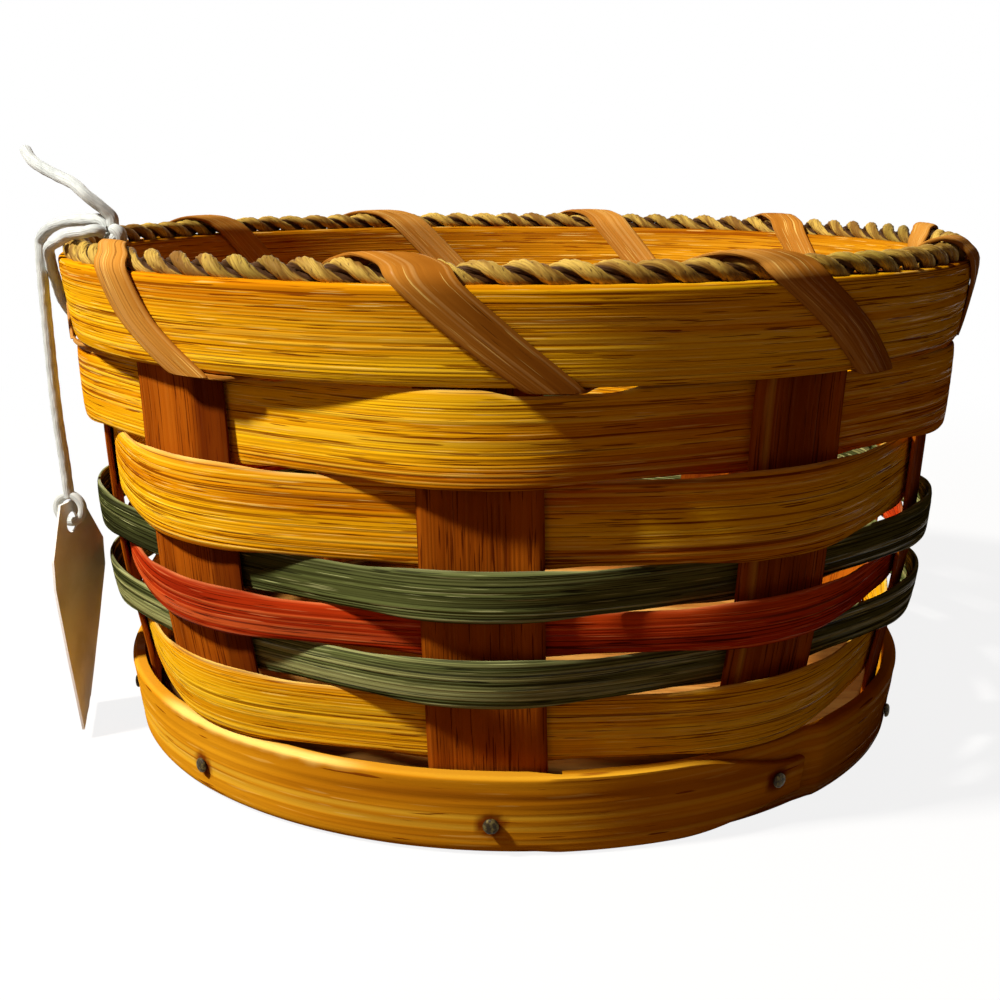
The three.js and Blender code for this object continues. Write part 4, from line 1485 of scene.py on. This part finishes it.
            def spot(across: float, face: Face) -> Spot:
                """Gives a point of the section."""
                w, v = across * spread, across * self.lash_width / 2
                length = gone[i] + w * math.cos(lean[i])
                offset = face.value * self.lash_thickness / 2 * flat_oval(across, 0.35)
                offset += 0.16 * (1 - across**2)
                if face is Face.OUTER:
                    offset += 0.07 * rough(length / 22, v / 0.5, seed)
                    offset += 0.042 * rough(length / 30, v / 1.3, seed)
                turned = azimuth + math.degrees(w / self.outer_face)
                place = at(turned, here[0] - way.y * offset, here[1] + rise + way.x * offset)
                return Spot(place, lay(length, v, seed, face), abs(across) ** 9)

            return spot

        return Shaper().strip(last, 16, section).finish("lashing_winding", LASH, "lashing_strip")


RIM = Rim()


@dataclass
class StringAndTag:
    """The cotton string tied round the rim and the card tag that swings on it."""

    radius: float = 1.15
    solid_radius: float = 0.9
    knot_radius: float = 2.1
    knot_azimuth: float = -55.5
    knot_rest: float = 150.0
    knot_lift: float = 1.2
    hang_azimuth: float = -70.0
    hang_clear: float = 1.9
    bend: float = 2.6
    eye_radius: float = 2.9
    eye_string: float = 0.95
    tag_foot: float = 2.0
    tag_length: float = 48.0
    tag_width: float = 20.0
    tag_top_width: float = 8.0
    tag_shoulder: float = 11.0
    tag_thickness: float = 0.5
    hole_radius: float = 2.2
    hole_inset: float = 4.5
    tag_inset: float = 3.2
    tag_turn: float = 81.0
    tag_curl: float = 26.0
    tag_flat: float = 17.0
    tag_skew: float = 1.9
    tag_warp: float = 0.12

    def __post_init__(self) -> None:
        """Works out where the string passes the rim and where the knot, the eye and the tag are."""
        past = WALL.clearance + self.solid_radius
        self.room = RIM.lash_thickness + WALL.sag(RIM.outer_face) + WALL.clearance + past
        self.reach = RIM.filler_reach + past
        self.tuck = WALL.rim_bottom - past
        self.hang_radius = RIM.outer_face + self.room + self.hang_clear
        self.tag_radius = self.hang_radius - self.tag_inset
        self.hole_height = self.tag_foot + self.tag_length - self.hole_inset
        self.eye_height = self.hole_height + self.eye_radius
        off = RIM.filler_reach + WALL.clearance + self.knot_radius + self.knot_lift
        self.knot_spot = self.round_filler(0, self.knot_rest, off)

    def beyond(self, degrees: float, radius: float, height: float) -> Vector:
        """Gives a point so many degrees round from the knot."""
        return at(self.knot_azimuth + degrees, radius, height)

    def outer_pass(self, degrees: float, height: float, off: float) -> Vector:
        """Gives a point so far off the string's way outside the lashing."""
        return self.beyond(degrees, RIM.outside(height) + self.room + off, height)

    def inner_pass(self, degrees: float, height: float) -> Vector:
        """Gives a point on the string's way inside the lashing."""
        return self.beyond(degrees, RIM.inside(height) - self.room, height)

    def round_filler(self, degrees: float, angle: float, reach: float) -> Vector:
        """Gives a point beside the filler.

        Args:
            degrees: How far round the rim from the knot.
            angle: Degrees round the filler, from level outwards.
            reach: Distance from the filler's middle.

        Returns:
            The point.
        """
        turn = math.radians(angle)
        radius = RIM.filler_radius + reach * math.cos(turn)
        return self.beyond(degrees, radius, RIM.filler_height + reach * math.sin(turn))

    def from_knot(self, outwards: float, sideways: float, up: float) -> list[Vector]:
        """Gives the first two points of a string that leaves the knot.

        Args:
            outwards: Share of its direction away from the basket's middle.
            sideways: Share of it round the rim.
            up: Share of it upwards.

        Returns:
            The two points.
        """
        way = at(self.knot_azimuth, outwards, up) + at(self.knot_azimuth + 90, sideways, 0)
        way.normalize()
        return [self.knot_spot + way * (self.knot_radius + more) for more in (0.3, 1.6)]

    def build(self) -> list[Piece]:
        """Ties the string and hangs the tag."""
        held = [self.eye(), self.tag()]
        return [self.tail(), self.outer_run(), self.inner_run(), self.hanging(held), self.knot(), *held]

    def cord(
        self,
        name: str,
        node: str,
        points: Sequence[Vector],
        ways: tuple[str, str, str],
        pieces: Sequence[Piece] = (),
    ) -> Piece:
        """Lays one length of string along its route.

        Args:
            name: The piece's name.
            node: The solid that it stands for.
            points: The route's points.
            ways: What it ends in, how stiff it is and how it lies.
            pieces: The separate pieces at its end; with them it rides on no body.

        Returns:
            The string.
        """
        far_end, stiffness, lies = ways
        line = through(points, 24)
        total = lengths(line)[-1]
        tips = 0.0 if far_end == "bare" else 9.0

        def ring(gone: float, angle: float) -> tuple[float, float]:
            """Gives the string's radius and how deep in the lay a point is, for the painted shade of the
            finish.
            """
            lobe = abs(math.cos(angle - gone / 1.35))
            left = clamp((min(gone, total - gone) + tips) / self.radius, 0.02, 1.0)
            fuzz = 0.03 * rough(gone / 1.1, math.cos(angle), self.radius)
            swell = math.sqrt(1 - (1 - left) ** 2) * (0.95 + 0.05 * lobe + fuzz)
            return self.radius * swell, 0.35 * smoothstep(lobe, 0.4, 0.0)

        shaper = Shaper().tube(evenly(line, max(40, round(total / 0.3))), 16, ring)
        piece = shaper.finish(name, COTTON, node, None if pieces else "basket")
        if pieces:
            top, low = (
                at(self.hang_azimuth, self.hang_radius, WALL.rim_top + off) * MM
                for off in (self.bend, -self.bend)
            )
            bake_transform(piece)
        route = [p * MM for p in evenly(line, 36)]
        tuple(route[0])
        2 * self.radius * MM
        return piece

    def tail(self) -> Piece:
        """Lays the short stiff end that stands up out of the knot."""
        top = WALL.rim_top
        points = [
            self.knot_spot,
            *self.from_knot(0.1, -0.1, 0.98),
            self.beyond(-1.5, 91.0, top + 12),
            self.beyond(-3.5, 92.4, top + 13.9),
            self.beyond(-7.5, 94.7, top + 15.5),
            self.beyond(-11.5, 98.3, top + 17.9),
            self.beyond(-14.5, 100.0, top + 20.5),
        ]
        return self.cord("string_end_tail", "string_tail", points, ("bare", "stiff", "loose"))

    def outer_run(self) -> Piece:
        """Lays the run over the rim, down outside and in under the outer hoop."""
        top, bottom = WALL.rim_top, WALL.rim_bottom
        points = [
            *self.from_knot(0.93, 0.05, 0.37),
            self.round_filler(-1.8, 88, self.reach + 0.3),
            self.round_filler(-4.2, 62, self.reach + 0.3),
            self.round_filler(-6.8, 34, self.reach + 0.3),
            self.beyond(-9.4, RIM.outer_face + self.room - 1.2, top + 1.8),
            self.beyond(-12, RIM.outer_face + self.room - 1.3, top - 1),
            self.outer_pass(-17, top - 6, -0.9),
            self.outer_pass(-23, top - 11, 0.0),
            self.beyond(-28, RIM.outside(bottom) + self.room - 0.2, bottom + 0.5),
            self.beyond(-31, WALL.outer_seat(bottom) + 2.9, self.tuck - 0.3),
            self.beyond(-32, WALL.outer_seat(bottom) + 0.9, self.tuck),
        ]
        return self.cord("string_run_outside", "string_outer_run", points, ("object", "limp", "taut"))

    def inner_run(self) -> Piece:
        """Lays the run down inside and in under the inner hoop."""
        top, bottom = WALL.rim_top, WALL.rim_bottom
        points = [
            *self.from_knot(-0.35, -0.35, -0.87),
            self.inner_pass(-4, top - 3),
            self.inner_pass(-13, top - 9),
            self.inner_pass(-24, bottom + 3),
            self.beyond(-29, RIM.inside(bottom) - self.room + 0.4, bottom - 1),
            self.beyond(-31.5, WALL.inner_seat(bottom) - 1.6, self.tuck - 0.2),
            self.beyond(-32, WALL.inner_seat(bottom) - 0.4, self.tuck),
        ]
        return self.cord("string_run_inside", "string_inner_run", points, ("object", "limp", "taut"))

    def hanging(self, pieces: Sequence[Piece]) -> Piece:
        """Lays the strand over the rim and down to the tag.

        Args:
            pieces: The eye and the tag at its end.

        Returns:
            The strand.
        """
        top = WALL.rim_top
        join = self.eye_height + self.eye_radius
        hang, radius = self.hang_azimuth, self.hang_radius - 1.4
        points = [
            *self.from_knot(0.38, -0.5, 0.78),
            self.round_filler(-5.4, 98, self.reach + 2.4),
            self.round_filler(-9, 66, self.reach + 2.2),
            self.beyond(-12.4, radius - 1.9, top + 5.0),
            at(hang, radius - 0.2, top + 2.8),
            at(hang, radius, top),
            at(hang, radius - 0.2, (2 * top + join) / 3),
            at(hang, radius - 0.7, (top + 2 * join) / 3),
            at(hang, self.tag_radius + 0.4, join + 7),
            at(hang, self.tag_radius, join - self.eye_string / 2),
        ]
        return self.cord("string_strand", "string_arch", points, ("knot", "limp", "hanging"), pieces)

    def tight(self, line: Sequence[Vector], sides: int, radius: float) -> Shaper:
        """Sweeps a plain soft ring along a loop, for a string that is pulled tight.

        Args:
            line: The loop's points.
            sides: How many sides the ring has.
            radius: Its radius.

        Returns:
            The shaper.
        """

        def ring(gone: float, angle: float) -> tuple[float, float]:
            """Gives the string's radius and no groove."""
            return radius * (1 + 0.03 * rough(math.cos(angle), math.sin(angle), 9.0)), 0.0

        return Shaper().tube(line, sides, ring, looped=True)

    def knot(self) -> Piece:
        """Ties the overhand knot."""
        stand = Matrix.Rotation(math.radians(self.knot_azimuth), 3, "Z")
        stand @= Matrix.Rotation(math.radians(70), 3, "X")
        scale, count = self.knot_radius * 0.29, 120
        line = []
        for i in range(count + 1):
            t = FULL_TURN * i / count
            x, y = math.sin(t) + 2 * math.sin(2 * t), math.cos(t) - 2 * math.cos(2 * t)
            line.append(self.knot_spot + stand @ (Vector((x, y, -1.15 * math.sin(3 * t))) * scale))
        return self.tight(line, 16, self.radius * 0.98).finish("string_tied_knot", COTTON, "string_knot")

    def eye(self) -> Piece:
        """Bends the eye that holds the tag."""
        turn = math.radians(self.tag_turn)
        inwards = UP.cross(Vector((math.cos(turn), math.sin(turn), 0)))
        centre = at(self.hang_azimuth, self.tag_radius, self.eye_height)
        turns = [FULL_TURN * i / 64 for i in range(65)]
        line = [centre + (UP * math.cos(a) + inwards * math.sin(a)) * self.eye_radius for a in turns]
        return self.tight(line, 14, self.eye_string).finish("string_eye", COTTON, "tag_string", "tag_string")

    def tag(self) -> Piece:
        """Cuts, punches and curls the card tag."""
        top = self.tag_foot + self.tag_length
        curl_from = top - self.tag_flat
        shaper = Shaper()
        bm = shaper.bm
        bmesh.ops.create_grid(bm, x_segments=96, y_segments=24, size=1.0)
        for vert in bm.verts:
            z = lerp(top, self.tag_foot, (vert.co.x + 1) / 2)
            share = clamp((top - z) / self.tag_shoulder)
            half = lerp(self.tag_top_width, self.tag_width, share) / 2
            vert.co = (vert.co.y * half + self.tag_skew * share, z, 0)
        hole = Vector((0, self.hole_height, 0))
        punch = self.hole_radius * 0.9
        punched = [face for face in bm.faces if (face.calc_center_median() - hole).length < punch]
        bmesh.ops.delete(bm, geom=punched, context="FACES")
        for vert in bm.verts:
            off = vert.co - hole
            if vert.is_boundary and off.length < self.hole_radius * 1.6:
                vert.co = hole + off.normalized() * self.hole_radius
        outline = {v for v in bm.verts if v.is_boundary}
        back = shaper.doubled()
        outline |= {v for e in bm.edges if e.calc_face_angle(0.0) > 1 for v in e.verts}
        centre = at(self.hang_azimuth, self.tag_radius, 0)
        for vert in bm.verts:
            x, z = vert.co.x, vert.co.y
            curl = max(0.0, (curl_from - z) / (curl_from - self.tag_foot))
            turn = math.radians(self.tag_turn + self.tag_curl * curl)
            across = Vector((math.cos(turn), math.sin(turn), 0))
            side = 1 if vert in back else -1
            warp = self.tag_warp * rough(x / 6, z / 9, 4.0)
            place = Vector((centre.x, centre.y, z)) + across * x
            place += UP.cross(across) * (side * self.tag_thickness / 2 + warp)
            shaper.put(vert, Spot(place, Vector((z, x, side * 9)), float(vert in outline)))
        return shaper.finish("card_tag", CARD, "hang_tag", "hang_tag")


@dataclass(frozen=True)
class Studio:
    """The camera, the lamps, the white floor and the white surround."""

    camera_place: tuple[float, float, float] = (21.85, -304.40, 119.79)
    pitch: float = 76.024
    heading: float = 4.7
    lens: float = 49.593
    aim: tuple[float, float, float] = (0, 0, 0.05)
    floor_size: float = 6.0
    floor_drop: float = -0.0002

    def place(self, name: str, data: bpy.types.ID) -> bpy.types.Object:
        """Puts a thing into the scene.

        Args:
            name: Its name.
            data: Its camera, lamp or mesh.

        Returns:
            The thing.
        """
        made = bpy.data.objects.new(name, data)
        bpy.context.scene.collection.objects.link(made)
        return made

    def camera(self) -> None:
        """Stands the camera where the photograph was taken."""
        data = bpy.data.cameras.new("photo_camera")
        data.lens = self.lens
        data.sensor_width = 36
        data.sensor_fit = "HORIZONTAL"
        data.clip_start = 0.01
        camera = self.place("photo_camera", data)
        camera.location = Vector(self.camera_place) * MM
        camera.rotation_euler = (math.radians(self.pitch), 0, math.radians(self.heading))
        bpy.context.scene.camera = camera

    def lamp(
        self,
        name: str,
        place: tuple[float, float, float],
        size: float,
        watts: float,
        colour: tuple[float, float, float],
    ) -> None:
        """Hangs one square lamp that faces the basket.

        Args:
            name: Its name.
            place: Where it hangs, in metres.
            size: Its side.
            watts: Its power.
            colour: Its colour.
        """
        data = bpy.data.lights.new(name, "AREA")
        data.size = size
        data.energy = watts
        data.color = colour
        lamp = self.place(name, data)
        lamp.location = place
        lamp.rotation_euler = (Vector(self.aim) - lamp.location).to_track_quat("-Z", "Y").to_euler()

    def surround(self) -> None:
        """Sets the soft light from all round and the white that the camera sees."""
        world = bpy.data.worlds.new("studio_world")
        bpy.context.scene.world = world
        bench = Bench(world)
        soft = bench.node("Background", {"Color": (1.0, 0.4, 0.25, 1.0), "Strength": 0.045})
        white = bench.node("Background", {"Color": (1, 1, 1, 1), "Strength": 1.0})
        bench.node("OutputWorld", {0: bench.shown(soft, white)})

    def floor(self) -> None:
        """Lays the floor."""
        bm = bmesh.new()
        bmesh.ops.create_grid(bm, x_segments=1, y_segments=1, size=self.floor_size)
        bmesh.ops.translate(bm, verts=bm.verts[:], vec=(0, 0, self.floor_drop))
        mesh = bpy.data.meshes.new("studio_floor")
        bm.to_mesh(mesh)
        bm.free()
        mesh.materials.append(FLOOR.material())
        self.place("studio_floor", mesh)

    def light(self) -> None:
        """Hangs the lamps and lays the floor."""
        self.lamp("key_lamp", (-0.886, -0.512, 1.147), 0.13, 41.0, (1.0, 0.96, 0.9))
        self.lamp("fill_lamp", (-0.45, -1.4, 0.5), 0.9, 1.25, (1.0, 0.42, 0.24))
        self.lamp("back_lamp", (0.2, 1.5, 0.7), 1.0, 5.0, (1.0, 0.86, 0.7))
        self.surround()
        self.floor()


def main() -> None:
    """Builds the scene in order: camera and string first, then the basket and the light."""
    logging.basicConfig(level=logging.INFO, format="%(message)s")
    bpy.context.scene.view_settings.view_transform = "Standard"
    studio = Studio()
    studio.camera()
    for maker in (StringAndTag(), Base(), Stakes(), Weave(), RIM):
        for piece in maker.build():
            log.info("%s: %d faces", piece.name, len(piece.data.polygons))
    studio.light()


if __name__ == "__main__":
    main()
